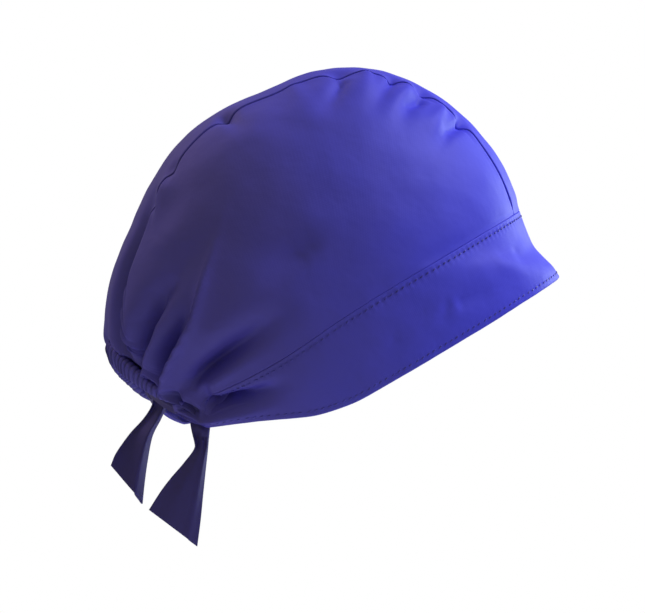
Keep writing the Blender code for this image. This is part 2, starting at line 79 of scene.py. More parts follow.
# %% [markdown]
# ## The sizes of the cap
# The cap is worked out in its own directions, `forward` and `up` from the plane of its hem, and only then
# tipped back as it sits on a head. The sizes are those of the solids, so the fine cloth lies where they are.

# %% Sizes in metres
CAP_LENGTH = 0.210
CAP_WIDTH = 0.166
CROWN_HEIGHT = 0.163
HEAD_TILT = math.radians(30.0)
BAND_HEIGHT = 0.040
STRIP_WIDTH = 0.066
FOLD_DEPTH = 0.0110
ELASTIC_WIDTH = 0.0148
ELASTIC_THICKNESS = 0.0042
NAPE_RISE = 0.050
NAPE_POWER = 1.7
CASING_REACH = 0.950
CASING_TAPER = 0.78
CASING_THINNING = 0.35
TIE_WIDTH = 0.0105
TIE_THICKNESS = 0.0028
KNOT_SIZE = 0.0108
TAIL_WIDTH = 0.0300
RIGHT_TAIL_DROP = 0.0585
LEFT_TAIL_DROP = 0.0500
SIDE_POWER = 2.2
SEAM_HOLD = 0.70
BAND_SHARE = 0.80
FRONT_ANGLES = (-60.0, 30.0)
BACK_ANGLES = (120.0, 225.0)
NAPE_ANGLES = (150.0, 240.0)
CLOTH = 0.0006                  # one layer of poplin, drawn a little thick so that its edges show

ProfilePoint = namedtuple("ProfilePoint", "forward up")
PROFILE = [
    ProfilePoint(0.490, 0.000),
    ProfilePoint(0.470, 0.125),
    ProfilePoint(0.480, 0.245),
    ProfilePoint(0.497, 0.405),
    ProfilePoint(0.478, 0.585),
    ProfilePoint(0.418, 0.755),
    ProfilePoint(0.325, 0.886),
    ProfilePoint(0.203, 0.961),
    ProfilePoint(0.072, 0.986),
    ProfilePoint(-0.048, 1.000),
    ProfilePoint(-0.166, 0.976),
    ProfilePoint(-0.275, 0.910),
    ProfilePoint(-0.372, 0.820),
    ProfilePoint(-0.472, 0.720),
    ProfilePoint(-0.552, 0.578),
    ProfilePoint(-0.572, 0.405),
    ProfilePoint(-0.576, 0.157),
    ProfilePoint(-0.416, -0.274),
    ProfilePoint(-0.048, -0.491),
    ProfilePoint(0.293, -0.355),
]
MIDDLE = ProfilePoint(-0.048, 0.405)

BandRow = namedtuple("BandRow", "turn hem seam")
BAND_ROWS = [
    BandRow(0.0, 0.00, 1.03),
    BandRow(20.0, 0.05, 1.06),
    BandRow(45.0, 0.085, 1.10),
    BandRow(75.0, 0.095, 1.12),
    BandRow(95.0, 0.10, 1.10),
    BandRow(106.0, 0.12, 1.06),
    BandRow(116.0, 0.22, 1.03),
    BandRow(126.0, 0.42, 1.03),
    BandRow(136.0, 0.60, 1.05),
    BandRow(145.0, 0.72, 1.06),
]
BAND_TURN = BAND_ROWS[-1].turn

StripRow = namedtuple("StripRow", "angle half")
STRIP_ROWS = [
    StripRow(-25.0, 0.580),
    StripRow(15.0, 0.560),
    StripRow(45.0, 0.480),
    StripRow(80.0, 0.420),
    StripRow(125.0, 0.450),
    StripRow(165.0, 0.490),
    StripRow(205.0, 0.480),
]
print(f"cap {CAP_LENGTH * 1000:.0f} mm long, {CAP_WIDTH * 1000:.0f} mm wide, "
      f"crown {CROWN_HEIGHT * 1000:.0f} mm")

# %% [markdown]
# ## The surface of the cap
# A smooth body like this can be drawn with a few curves. One closed curve gives the outline from the side,
# and a power law rounds it across, a bit fuller than an ellipse. Any seam is then a line on that surface,
# found by its height or by its angle, so neighbouring panels meet without fitting.


# %% Curves and surface points
def smooth_curve(keys, values, period=None):
    """A function through (key, value) rows; it may repeat."""
    keys = list(keys)
    values = list(values)
    if period:
        keys = [keys[-1] - period] + keys + [keys[0] + period, keys[1] + period]
        values = [values[-1]] + values + [values[0], values[1]]
    slopes = []
    for i in range(len(keys)):
        low = max(i - 1, 0)
        high = min(i + 1, len(keys) - 1)
        slopes.append((values[high] - values[low]) / (keys[high] - keys[low]))

    def value_at(key):
        if period:
            key = keys[1] + (key - keys[1]) % period
        key = min(max(key, keys[0]), keys[-1])
        i = 0
        while i < len(keys) - 2 and keys[i + 1] <= key:
            i += 1
        step = keys[i + 1] - keys[i]
        s = (key - keys[i]) / step
        return (
            (2 * s**3 - 3 * s**2 + 1) * values[i]
            + (s**3 - 2 * s**2 + s) * step * slopes[i]
            + (3 * s**2 - 2 * s**3) * values[i + 1]
            + (s**3 - s**2) * step * slopes[i + 1]
        )

    return value_at


def profile_row(point):
    angle = math.degrees(math.atan2(point.up - MIDDLE.up, point.forward - MIDDLE.forward)) % 360.0
    return angle, math.hypot(point.forward - MIDDLE.forward, point.up - MIDDLE.up)


profile_rows = sorted(profile_row(p) for p in PROFILE)
REACH = smooth_curve([r[0] for r in profile_rows], [r[1] for r in profile_rows], period=360.0)
HEM = smooth_curve([r.turn for r in BAND_ROWS], [r.hem for r in BAND_ROWS])
SEAM = smooth_curve([r.turn for r in BAND_ROWS], [r.seam for r in BAND_ROWS])
STRIP_HALF = smooth_curve([r.angle for r in STRIP_ROWS], [r.half for r in STRIP_ROWS])
SCALE = Vector((CAP_LENGTH, CAP_WIDTH / 2, CROWN_HEIGHT))
UNIT_MIDDLE = Vector((MIDDLE.forward, 0.0, MIDDLE.up))
CROWN_MIDDLE = Vector((MIDDLE.forward * CAP_LENGTH, 0.0, MIDDLE.up * CROWN_HEIGHT))
WORN = Matrix.Rotation(-HEAD_TILT, 3, "Y")


def real(unit):
    return Vector((unit.x * SCALE.x, unit.y * SCALE.y, unit.z * SCALE.z))


def fan_point(angle, across):
    """The unit cap's surface point at an angle round the middle and a share of the half width."""
    shrink = max(0.0, 1.0 - abs(across) ** SIDE_POWER) ** (1.0 / SIDE_POWER)
    reach = REACH(angle) * shrink
    turn = math.radians(angle)
    return UNIT_MIDDLE + Vector((reach * math.cos(turn), across, reach * math.sin(turn)))


def along_ray(direction):
    """The unit cap's surface point straight out from its middle."""
    side = math.hypot(direction.x, direction.z)
    angle = math.degrees(math.atan2(direction.z, direction.x))
    size = ((side / REACH(angle)) ** SIDE_POWER + abs(direction.y) ** SIDE_POWER) ** (1.0 / SIDE_POWER)
    return UNIT_MIDDLE + direction / size


def level_point(turn, up):
    """The unit cap's surface point at a height, at a turn from the forehead: 90 is the wearer's left."""
    angle = math.radians(turn)
    near, far = 0.0, 2.0
    for _ in range(22):
        reach = (near + far) / 2
        probe = Vector((reach * math.cos(angle) / 2, reach * math.sin(angle), up - UNIT_MIDDLE.z))
        if (along_ray(probe) - UNIT_MIDDLE).length > probe.length:
            near = reach
        else:
            far = reach
    return UNIT_MIDDLE + probe


def turn_of(unit):
    return math.degrees(math.atan2(unit.y, 2 * (unit.x - UNIT_MIDDLE.x)))


def band_end(side):
    return level_point(side * BAND_TURN, SEAM(BAND_TURN) * BAND_HEIGHT / CROWN_HEIGHT)


END_ACROSS = abs(band_end(1).y)


def nape_up(across):
    """The height of the elastic channel's upper edge, at a share of the half width."""
    share = min(abs(across) / END_ACROSS, 1.0)
    return (SEAM(BAND_TURN) * BAND_HEIGHT + NAPE_RISE * (1.0 - share**NAPE_POWER)) / CROWN_HEIGHT


def angle_at_height(across, height_at, limits):
    """The angle where a line at a share of the half width passes a height, between two angles."""
    low, high = limits
    rising = fan_point(high, across).z > fan_point(low, across).z
    for _ in range(24):
        angle = (low + high) / 2
        if (fan_point(angle, across).z < height_at) == rising:
            low = angle
        else:
            high = angle
    return angle


def strip_edge(angle):
    return STRIP_HALF(angle) * STRIP_WIDTH / (CAP_WIDTH / 2)


def strip_ends(share):
    """Where the centre panel meets the band and the channel, at a share of its half width."""
    front = rear = 0.0
    for _ in range(8):
        corner = fan_point(front, share * strip_edge(front))
        front = angle_at_height(corner.y, SEAM(turn_of(corner)) * BAND_HEIGHT / CROWN_HEIGHT, FRONT_ANGLES)
        across = share * strip_edge(rear)
        rear = angle_at_height(across, nape_up(across), BACK_ANGLES)
    return front, rear


def outwards(point):
    return (point - CROWN_MIDDLE).normalized()


print(f"band ends {2 * END_ACROSS * CAP_WIDTH / 2 * 1000:.0f} mm apart at the nape")

# %% [markdown]
# ## Folds
# Cloth gathered by an elastic stands up in ridges that fan out from it, with valleys between. A cloth
# simulation would find folds of its own, but these have known places, so each is a row of a table: a line
# of points, a width and a height. A fold starts narrow and crisp at the elastic and gets wide and soft.


# %% Fold tables and how far they push
def fade(share):
    """Full at 0, none at 1, level at both."""
    share = min(max(share, 0.0), 1.0)
    return 1.0 - share * share * (3.0 - 2.0 * share)


def eased(share):
    """None at 0, full at 1, level at both."""
    return 1.0 - fade(share)


# line: points as shares of CAP_LENGTH (forward) and CROWN_HEIGHT (up), seen from the side.
# width: half width as a share of CAP_LENGTH. height: share of FOLD_DEPTH, below zero for a valley.
# sharp: 2 is a soft swell, less is a crisper crest.
Fold = namedtuple("Fold", "line width height sharp")
RIGHT_FOLDS = [
    Fold(((-0.549, 0.464), (-0.522, 0.539), (-0.479, 0.631), (-0.417, 0.720)), 0.022, 0.55, 1.9),
    Fold(((-0.537, 0.461), (-0.486, 0.546), (-0.431, 0.599), (-0.374, 0.625), (-0.210, 0.725)),
         0.021, -1.35, 1.7),
    Fold(((-0.537, 0.437), (-0.506, 0.480), (-0.461, 0.537), (-0.400, 0.580)), 0.014, 0.50, 1.6),
    Fold(((-0.530, 0.386), (-0.483, 0.439), (-0.435, 0.478), (-0.385, 0.530), (-0.340, 0.600)),
         0.017, -1.35, 1.6),
    Fold(((-0.527, 0.344), (-0.484, 0.386), (-0.393, 0.475), (-0.306, 0.595), (-0.221, 0.695)),
         0.019, 0.95, 1.30),
    Fold(((-0.484, 0.386), (-0.393, 0.475), (-0.306, 0.595), (-0.221, 0.695), (-0.150, 0.790)),
         0.0085, 0.32, 1.4),
    Fold(((-0.467, 0.325), (-0.400, 0.338), (-0.331, 0.352), (-0.240, 0.372), (-0.150, 0.390)),
         0.026, -1.50, 1.7),
    Fold(((-0.400, 0.428), (-0.314, 0.440), (-0.229, 0.438), (-0.100, 0.415)), 0.045, 0.22, 2.0),
    Fold(((-0.089, 0.514), (-0.180, 0.507), (-0.270, 0.504)), 0.046, -0.30, 2.0),
    Fold(((-0.447, 0.282), (-0.356, 0.291), (-0.251, 0.300)), 0.022, 0.35, 1.8),
    Fold(((-0.512, 0.305), (-0.485, 0.318), (-0.450, 0.345)), 0.015, 0.50, 1.7),
    Fold(((-0.462, 0.258), (-0.445, 0.285), (-0.425, 0.305)), 0.013, -0.95, 1.9),
    Fold(((-0.257, 0.890), (-0.305, 0.837), (-0.361, 0.754), (-0.392, 0.670)), 0.020, 0.22, 1.6),
    Fold(((-0.345, 0.715), (-0.249, 0.747), (-0.107, 0.769)), 0.050, 0.25, 2.0),
]
LEFT_FOLDS = [
    Fold(((-0.552, 0.450), (-0.500, 0.590), (-0.410, 0.730)), 0.024, 0.50, 1.9),
    Fold(((-0.530, 0.420), (-0.470, 0.540), (-0.380, 0.640), (-0.260, 0.740)), 0.020, -0.75, 1.7),
    Fold(((-0.540, 0.370), (-0.460, 0.455), (-0.350, 0.560), (-0.260, 0.660)), 0.020, 0.70, 1.4),
    Fold(((-0.500, 0.350), (-0.420, 0.385), (-0.290, 0.450), (-0.180, 0.480)), 0.026, -0.90, 1.8),
    Fold(((-0.480, 0.290), (-0.390, 0.310), (-0.230, 0.350)), 0.022, 0.45, 1.7),
    Fold(((-0.430, 0.250), (-0.330, 0.265), (-0.180, 0.290)), 0.020, -0.35, 1.8),
]
TOP_PUCKERS = [
    Fold(((0.423, 0.591), (0.381, 0.595), (0.334, 0.574), (0.280, 0.545)), 0.019, -0.36, 1.9),
    Fold(((0.366, 0.721), (0.328, 0.726), (0.289, 0.706), (0.235, 0.668)), 0.020, -0.42, 1.9),
    Fold(((0.335, 0.812), (0.297, 0.802), (0.248, 0.773), (0.205, 0.740)), 0.017, -0.28, 1.9),
    Fold(((0.220, 0.892), (0.180, 0.868), (0.140, 0.843), (0.090, 0.800)), 0.022, -0.36, 1.9),
    Fold(((-0.063, 0.975), (-0.053, 0.943), (-0.027, 0.896)), 0.024, -0.26, 1.9),
    Fold(((0.395, 0.660), (0.350, 0.644), (0.305, 0.615)), 0.022, 0.20, 2.0),
    Fold(((0.350, 0.769), (0.316, 0.757), (0.270, 0.727)), 0.020, 0.18, 2.0),
    Fold(((0.282, 0.865), (0.230, 0.832), (0.173, 0.780)), 0.026, 0.20, 2.0),
    Fold(((0.118, 0.940), (0.095, 0.869), (0.074, 0.779)), 0.034, 0.10, 2.0),
]
BAND_FOLDS = [
    Fold(((-0.460, 0.228), (-0.369, 0.196), (-0.250, 0.178)), 0.018, -1.30, 1.8),
    Fold(((-0.490, 0.206), (-0.395, 0.163), (-0.273, 0.118)), 0.016, 0.30, 1.7),
    Fold(((-0.478, 0.270), (-0.450, 0.248), (-0.420, 0.235)), 0.014, -0.60, 1.9),
    Fold(((0.142, 0.140), (0.112, 0.111), (0.094, 0.083)), 0.020, -0.08, 2.0),
    Fold(((0.318, 0.174), (0.356, 0.118), (0.373, 0.054)), 0.026, 0.08, 2.0),
    Fold(((0.180, 0.124), (0.255, 0.112), (0.300, 0.101)), 0.028, -0.10, 2.0),
    Fold(((-0.015, 0.124), (-0.053, 0.100), (-0.081, 0.065)), 0.034, -0.08, 2.0),
    Fold(((0.380, 0.160), (0.400, 0.110), (0.420, 0.060)), 0.022, -0.08, 2.0),
]

# Where the arched seams pinch the cloth: angle round the middle, and depth as a share of SEAM_PINCH.
SEAM_PINCH = 0.0035
SeamDip = namedtuple("SeamDip", "angle depth wide")
RIGHT_DIPS = [
    SeamDip(21.7, 0.9, 2.8),
    SeamDip(37.5, 1.1, 2.8),
    SeamDip(46.8, 0.7, 2.4),
    SeamDip(61.0, 1.0, 3.0),
    SeamDip(91.3, 0.5, 3.5),
    SeamDip(110.0, 0.5, 2.6),
    SeamDip(120.6, 0.7, 2.2),
    SeamDip(146.0, 0.4, 1.6),
    SeamDip(152.5, 0.5, 1.6),
    SeamDip(159.0, 0.6, 1.7),
    SeamDip(166.0, 0.6, 1.7),
]
LEFT_DIPS = [
    SeamDip(14.0, 0.7, 3.0),
    SeamDip(30.0, 1.0, 3.0),
    SeamDip(49.0, 0.8, 2.8),
    SeamDip(70.0, 1.0, 3.2),
    SeamDip(100.0, 0.6, 3.2),
]


def pinch(dips, angle):
    """How far a seam is drawn in at an angle; between two dips the cloth stands a little proud."""
    depth = sum(d.depth * math.exp(-(((angle - d.angle) / d.wide) ** 2)) for d in dips)
    swell = sum(d.depth * math.exp(-(((angle - d.angle) / (2.6 * d.wide)) ** 2)) for d in dips)
    return SEAM_PINCH * (depth - 0.30 * swell)


def measured(folds):
    """The same folds in metres, each with the box outside which it does nothing."""
    ready = []
    for fold in folds:
        line = [(x * CAP_LENGTH, z * CROWN_HEIGHT) for x, z in fold.line]
        width = fold.width * CAP_LENGTH
        margin = 4.0 * width
        xs = [p[0] for p in line]
        zs = [p[1] for p in line]
        box = (min(xs) - margin, max(xs) + margin, min(zs) - margin, max(zs) + margin)
        ready.append((line, width, fold.height * FOLD_DEPTH, fold.sharp, box))
    return ready


def fold_push(folds, unit, held=SEAM_HOLD):
    """How far a table's folds lift the cloth at a point; held is how much a seam flattens their start."""
    x = unit.x * CAP_LENGTH
    z = unit.z * CROWN_HEIGHT
    push = 0.0
    for line, width, height, sharp, box in folds:
        if not (box[0] < x < box[1] and box[2] < z < box[3]):
            continue
        away = 1.0
        along = 0.0
        legs = len(line) - 1
        for leg in range(legs):
            ax, az = line[leg]
            bx, bz = line[leg + 1]
            dx, dz = bx - ax, bz - az
            share = ((x - ax) * dx + (z - az) * dz) / (dx * dx + dz * dz)
            share = min(max(share, 0.0), 1.0)
            gap = math.hypot(x - ax - share * dx, z - az - share * dz)
            if gap < away:
                away = gap
                along = (leg + share) / legs
        spread = width * (0.60 + 0.80 * along)
        strength = fade(along) * (1.0 - held * fade(along / 0.14))
        push += height * strength * math.exp(-((away / spread) ** sharp))
    return push


right_folds = measured(RIGHT_FOLDS)
left_folds = measured(LEFT_FOLDS)
top_puckers = measured(TOP_PUCKERS)
band_folds = measured(BAND_FOLDS)
print("folds in the tables:", len(RIGHT_FOLDS) + len(LEFT_FOLDS) + len(TOP_PUCKERS) + len(BAND_FOLDS))

# %% [markdown]
# ## Sewn edges
# At a plain seam the two cloths turn in, face to face, and leave a narrow rounded groove. So each panel gets
# a few extra rows along its edge: they roll over a small radius and then run straight inwards as the seam
# allowance. This gives a true dark line between panels, which a flat joint would not.

# %% Rolled edge and a bent sheet of cloth
ROLL = 0.0005                   # radius of the turned edge
# SEAM_SHADE is painted shade: the cloth's colour is darkened in a seam's groove
SEAM_SHADE = 0.15               # how much a seam's groove darkens, beside a rib's groove
ALLOWANCE = 0.0022              # cloth that runs inwards behind the seam
EDGE_STEPS = (-1.0, -0.45, 0.0, 0.03, 0.12, 0.30, 0.60, 1.0, 1.8)


def roll_drop(inset, radius=ROLL):
    """How far the cloth has turned inwards at a distance from its seam."""
    if inset <= 0.0:
        return radius - inset
    if inset >= radius:
        return 0.0
    return radius - math.sqrt(radius * radius - (radius - inset) ** 2)


def seam_shade(*drops):
    """How much painted shade a point gets from lying in the grooves of one or more seams."""
    return SEAM_SHADE * sum(drops) / ROLL


def edge_insets(rows, length, low=True, high=True):
    """Where the rows of a panel lie, as distances from its first edge: close together at sewn edges."""
    start = [s * (ALLOWANCE if s < 0 else ROLL) for s in EDGE_STEPS] if low else [0.0]
    end = [s * (ALLOWANCE if s < 0 else ROLL) for s in EDGE_STEPS] if high else [0.0]
    room = length / (start[-1] + end[-1] + 1e-9)
    if room < 2.5:
        start = [s if s < 0 else s * room / 2.5 for s in start]
        end = [s if s < 0 else s * room / 2.5 for s in end]
    between = rows + 1 - len(start) - len(end)
    first = start[-1]
    last = length - end[-1]
    middle = [first + (last - first) * (k + 1) / (between + 1) for k in range(between)]
    return start + middle + [length - s for s in reversed(end)]


def bent_cloth(name, columns, rows, place, wall=CLOTH):
    """A flat grid bent by place(i, j), which gives a spot, its place on the flat cut cloth and how much
    painted shade darkens it in a seam, pit or hollow, from 0 to 1."""
    bm = bmesh.new()
    bmesh.ops.create_grid(bm, x_segments=columns, y_segments=rows, size=0.5)
    uv = bm.loops.layers.uv.new("cloth")
    # painted shade: how dark each point is drawn in seams, pits and hollows
    depth = bm.verts.layers.float.new("painted_shade")
    flat = {}
    for vert in bm.verts:
        i = round((vert.co.x + 0.5) * columns)
        j = round((vert.co.y + 0.5) * rows)
        spot, cut, painted_shade_share = place(i, j)
        vert.co = WORN @ spot
        vert[depth] = min(max(painted_shade_share, 0.0), 1.0)
        flat[vert] = cut
    for face in bm.faces:
        for loop in face.loops:
            loop[uv].uv = flat[loop.vert]
    bmesh.ops.remove_doubles(bm, verts=bm.verts, dist=2e-5)
    bmesh.ops.recalc_face_normals(bm, faces=bm.faces)
    middle = WORN @ CROWN_MIDDLE
    facing = sum((f.calc_center_median() - middle).dot(f.normal) * f.calc_area() for f in bm.faces)
    if facing < 0:
        bmesh.ops.reverse_faces(bm, faces=bm.faces)
    area = sum(f.calc_area() for f in bm.faces)
    piece = finished(name, bm)
    if wall:
        thick = piece.modifiers.new("cloth thickness", "SOLIDIFY")
        thick.thickness = wall
        thick.offset = -1.0
        thick.use_even_offset = False
    print(f"{name}: {columns} x {rows} grid, {area * 10000:.0f} square cm of cloth")
    return piece


def finished(name, bm):
    mesh = bpy.data.meshes.new(name)
    bm.to_mesh(mesh)
    bm.free()
    mesh.shade_smooth()
    piece = bpy.data.objects.new(name, mesh)
    bpy.context.collection.objects.link(piece)
    return piece


def drape(point, size, seed):
    """Slow unevenness that keeps cloth from looking like a moulding."""
    return noise.noise(point * (1.0 / size) + Vector((seed, 0.0, 0.0)))


# %% [markdown]
# ## The front band
# The band is one strip folded along its hem, so it has an outer and an inner layer with a round fold below.
# The rows of its grid follow the cloth: in behind the top seam, down the outside, round the fold, up the
# inside. Topstitching pulls a shallow channel into the cloth, so the channel is in the mesh as well.

# %% Front band
BAND_COLUMNS = 600
OUTER_ROWS = 30
FOLD_ROWS = 5
INNER_ROWS = 5
BAND_LAYERS = 0.0016            # from the outer layer to the inner one
STITCH_PITCH = 0.0036
SEAM_STITCH_AT = 0.0027         # topstitching, below the crown seam
HEM_STITCH_AT = 0.0032          # hem stitching, above the fold
STITCH_SINK = 0.00055


RECESS_DEPTH = 0.0085           # where band, panel and channel meet, the cloth is drawn in to a pit
RECESS_PLACE = 0.0060           # past the band's end, along the elastic
RECESS_REACH = 0.0105
RECESS_TALL = 0.014
# PIT_SHADE is painted shade in the pit where band, panel and channel meet
PIT_SHADE = 1.1                 # little light finds its way into the pit


def recess(past_end, from_seam):
    """How far the pit at the band's end draws the cloth in, at a place past that end."""
    near = fade(abs(past_end - RECESS_PLACE) / RECESS_REACH)
    return RECESS_DEPTH * near * fade(max(from_seam, 0.0) / RECESS_TALL)


BandColumn = namedtuple("BandColumn", "along turn tall up out unit_at")


def band_column(along, turn):
    """The band's bare surface along one upright line, from hem to seam."""
    low = HEM(abs(turn)) * BAND_HEIGHT / CROWN_HEIGHT
    high = SEAM(abs(turn)) * BAND_HEIGHT / CROWN_HEIGHT
    shares = [k / 6 for k in range(7)]
    units = [level_point(turn, low + (high - low) * share) for share in shares]
    tall = (real(units[-1]) - real(units[0])).length
    curves = [smooth_curve(shares, [unit[axis] for unit in units]) for axis in range(3)]
    up = (real(units[1]) - real(units[0])).normalized()
    out = outwards(real(units[0]))
    out = (out - up * out.dot(up)).normalized()
    return BandColumn(along, turn, tall, up, out, lambda share: Vector([c(share) for c in curves]))


def arc_along_band(steps=240):
    """Turns at equal steps along the band, with the length so far."""
    turns = [-BAND_TURN + 2 * BAND_TURN * k / steps for k in range(steps + 1)]
    middles = [level_point(t, (HEM(abs(t)) + SEAM(abs(t))) / 2 * BAND_HEIGHT / CROWN_HEIGHT) for t in turns]
    lengths = [0.0]
    for a, b in zip(middles, middles[1:]):
        lengths.append(lengths[-1] + (real(b) - real(a)).length)
    return turns, lengths


arc_turns, arc_lengths = arc_along_band()
BAND_LENGTH = arc_lengths[-1]
turn_at_length = smooth_curve(arc_lengths, arc_turns)
band_columns = []
for i in range(BAND_COLUMNS + 1):
    along = BAND_LENGTH * i / BAND_COLUMNS
    band_columns.append(band_column(along, turn_at_length(along)))


def sunk_by_stitches(along, height, tall):
    """The channel that the two rows of stitches pull in, deepest at each needle hole."""
    beat = 0.55 + 0.45 * math.cos(2 * math.pi * along / STITCH_PITCH)
    top = math.exp(-(((tall - height - SEAM_STITCH_AT) / 0.0011) ** 2))
    low = math.exp(-(((height - HEM_STITCH_AT) / 0.0010) ** 2))
    return STITCH_SINK * beat * (top + 0.4 * low)


def band_push(unit, base, past_end, from_seam):
    """How far the band's cloth lies out from the bare surface; panels sewn to it follow this at the seam."""
    push = fold_push(band_folds, unit, held=0.0)
    push += 0.0005 * drape(base, 0.034, 3.0) + 0.00022 * drape(base, 0.010, 7.0)
    return push - recess(past_end, from_seam)


def band_surface(column, height):
    unit = column.unit_at(min(max(height / column.tall, 0.0), 1.0))
    base = real(unit)
    past_end = -min(column.along, BAND_LENGTH - column.along)
    push = band_push(unit, base, past_end, column.tall - height)
    push -= sunk_by_stitches(column.along, height, column.tall)
    push -= roll_drop(column.tall - height)
    return base + outwards(base) * push


def folded_band(column, j):
    """Row 0 is the inner layer's top; the fold follows, and then the outer layer up to the seam."""
    radius = BAND_LAYERS / 2
    if j >= INNER_ROWS + FOLD_ROWS:
        insets = edge_insets(OUTER_ROWS, column.tall - radius, low=False)
        height = insets[j - INNER_ROWS - FOLD_ROWS] + radius
        sunk = sunk_by_stitches(column.along, height, column.tall)
        pit = recess(-min(column.along, BAND_LENGTH - column.along), column.tall - height)
        # painted shade in the seam's groove, the stitch channel and the pit
        painted_shade_share = seam_shade(roll_drop(column.tall - height), sunk) + PIT_SHADE * pit / RECESS_DEPTH
        return band_surface(column, height), (column.along, height), painted_shade_share
    if j >= INNER_ROWS:
        angle = math.pi * (1 - (j - INNER_ROWS) / FOLD_ROWS)
        start = band_surface(column, radius) - column.out * radius
        spot = start + column.out * (radius * math.cos(angle)) - column.up * (radius * math.sin(angle))
        return spot, (column.along, -radius * math.sin(angle)), 0.0
    height = radius + (column.tall - radius - 0.001) * (1 - j / INNER_ROWS)
    spot = band_surface(column, height)
    return spot - outwards(spot) * BAND_LAYERS, (column.along, -height), 0.0


# %% [markdown]
# At each end of the band the cloth is drawn together into a narrow strap. So the grid has some more columns
# there, which glide from the band's last upright line to the strap's section, with pleats that deepen as
# the cloth gets less room.

# %% The band's drawn-in ends
TieStation = namedtuple("TieStation", "across up out wide")
TIE_STATIONS = [
    TieStation(0.955, -0.03, 0.00, 0.90),
    TieStation(0.850, 0.05, -0.07, 0.84),
    TieStation(0.680, 0.16, -0.28, 0.78),
    TieStation(0.500, 0.24, -0.48, 0.74),
    TieStation(0.340, 0.31, -0.60, 0.72),
    TieStation(0.200, 0.36, -0.66, 0.70),
]
TONGUE_COLUMNS = 34
TONGUE_BEFORE = TieStation(0.860, 0.11, -0.07, 0.60)
TONGUE_END = TieStation(0.750, 0.17, -0.14, 0.52)


def tie_place(side, station):
    end = band_end(side)
    low = HEM(BAND_TURN) * BAND_HEIGHT
    high = SEAM(BAND_TURN) * BAND_HEIGHT
    up = (low + high) / 2 + station.up * NAPE_RISE
    across = abs(end.y) * station.across
    unit = fan_point(angle_at_height(across, up / CROWN_HEIGHT, NAPE_ANGLES), side * across)
    point = real(unit)
    out = Vector((point.x - CROWN_MIDDLE.x, point.y, 0.0)).normalized()
    return point + out * (station.out * TIE_WIDTH - TIE_THICKNESS / 2), out


def drawn_in(side, j, share):
    """A point of the band's end on its way to the strap, at a share of the way."""
    last = len(band_columns) - 1 if side > 0 else 0
    column = band_columns[last]
    start, cut, _ = folded_band(column, j)
    strap, out = tie_place(side, TONGUE_END)
    strap_before = tie_place(side, TONGUE_BEFORE)[0]
    ahead = (strap - strap_before).normalized()
    down = out.cross(ahead).normalized()
    if down.z > 0:
        down.negate()
    height = min(max(abs(cut[1]) / column.tall, 0.0), 1.0)
    outer = j >= INNER_ROWS + FOLD_ROWS / 2
    finish = strap + down * ((0.5 - height) * TIE_WIDTH * TONGUE_END.wide)
    finish += out * (0.0010 if outer else -0.0006)
    way = finish - start
    onwards = ahead * way.dot(ahead)
    closing = way - onwards
    drawn = eased(share ** (1.0 - 0.55 * height))
    spot = start + onwards * share + closing * drawn
    room = math.sin(math.pi * min(share * 1.15, 1.0))
    pleat = math.sin(height * 15.0 + 1.0) * 0.0011 + math.sin(height * 27.0) * 0.0005
    from_seam = (1.0 - height) * column.tall
    pit = recess(share * way.length, from_seam)
    # painted shade in the pit
    painted_shade_share = PIT_SHADE * pit / RECESS_DEPTH
    spot += outwards(spot) * (pleat * share * room + (recess(0.0, from_seam) - pit) * fade(share))
    return spot, cut, painted_shade_share


def place_band(i, j):
    if i < TONGUE_COLUMNS:
        return drawn_in(-1, j, 1 - i / TONGUE_COLUMNS)
    if i > TONGUE_COLUMNS + BAND_COLUMNS:
        return drawn_in(1, j, (i - TONGUE_COLUMNS - BAND_COLUMNS) / TONGUE_COLUMNS)
    return folded_band(band_columns[i - TONGUE_COLUMNS], j)


band = bent_cloth(
    "band_cloth", BAND_COLUMNS + 2 * TONGUE_COLUMNS, INNER_ROWS + FOLD_ROWS + OUTER_ROWS, place_band
)

# %% [markdown]
# ## The crown's side panels
# Each side panel is shaped like a D: its straight edge runs along the band and then along the elastic, and
# its round edge is the arched seam over the top. The grid's columns run from the one edge to the other, and
# they lie closer together towards the nape, where the folds are.

# %% Side panels
PANEL_COLUMNS = 250
PANEL_ROWS = 100
PUFF = 0.0006                   # the crown is a little fuller than the band that it is sewn to
GATHER_DEPTH = 0.0012
GATHER_FADE = 0.012
LOBE_ROLL = 0.0030              # a fold's end bulges over the elastic with this radius
LOBE_OUT = 0.0026
LOBE_DOWN = 0.0062
LOBE_REACH = 0.014
SEAM_BLEND = 0.010              # over this distance a panel's own folds give way to the seam's line
EDGE_IN = 0.0015                # a gathered edge lies between these limits on its channel
EDGE_OUT = 0.0030
BEHIND = 0.0070                 # a gathered edge goes on down behind its channel, where it is sewn
PIT_HANG = 0.011                # in the pit the panel's edge reaches down behind the band's end
SEWN_LOWER = 0.0038             # the channel's seam lies this much below the solid's edge
front_angle, rear_angle = strip_ends(1.0)
START_TURN = turn_of(fan_point(front_angle, strip_edge(front_angle)))
REAR_ACROSS = strip_edge(rear_angle)


def gather(place, inset, seed, pitch=0.0047):
    """Small pleats that the elastic draws up, at a place along it and a distance from it."""
    phase = place / pitch + 0.8 * noise.noise(Vector((place * 90.0, seed, 0.0)))
    uneven = 0.65 + 0.5 * noise.noise(Vector((place * 60.0, seed + 9.0, 0.0)))
    reach = GATHER_FADE * (0.8 + 0.9 * abs(noise.noise(Vector((place * 75.0, seed + 5.0, 0.0)))))
    crest = 1.0 - abs(math.sin(math.pi * phase)) ** 0.8
    return GATHER_DEPTH * uneven * (0.5 - crest) * math.exp(-((max(inset, 0.0) / reach) ** 1.5))


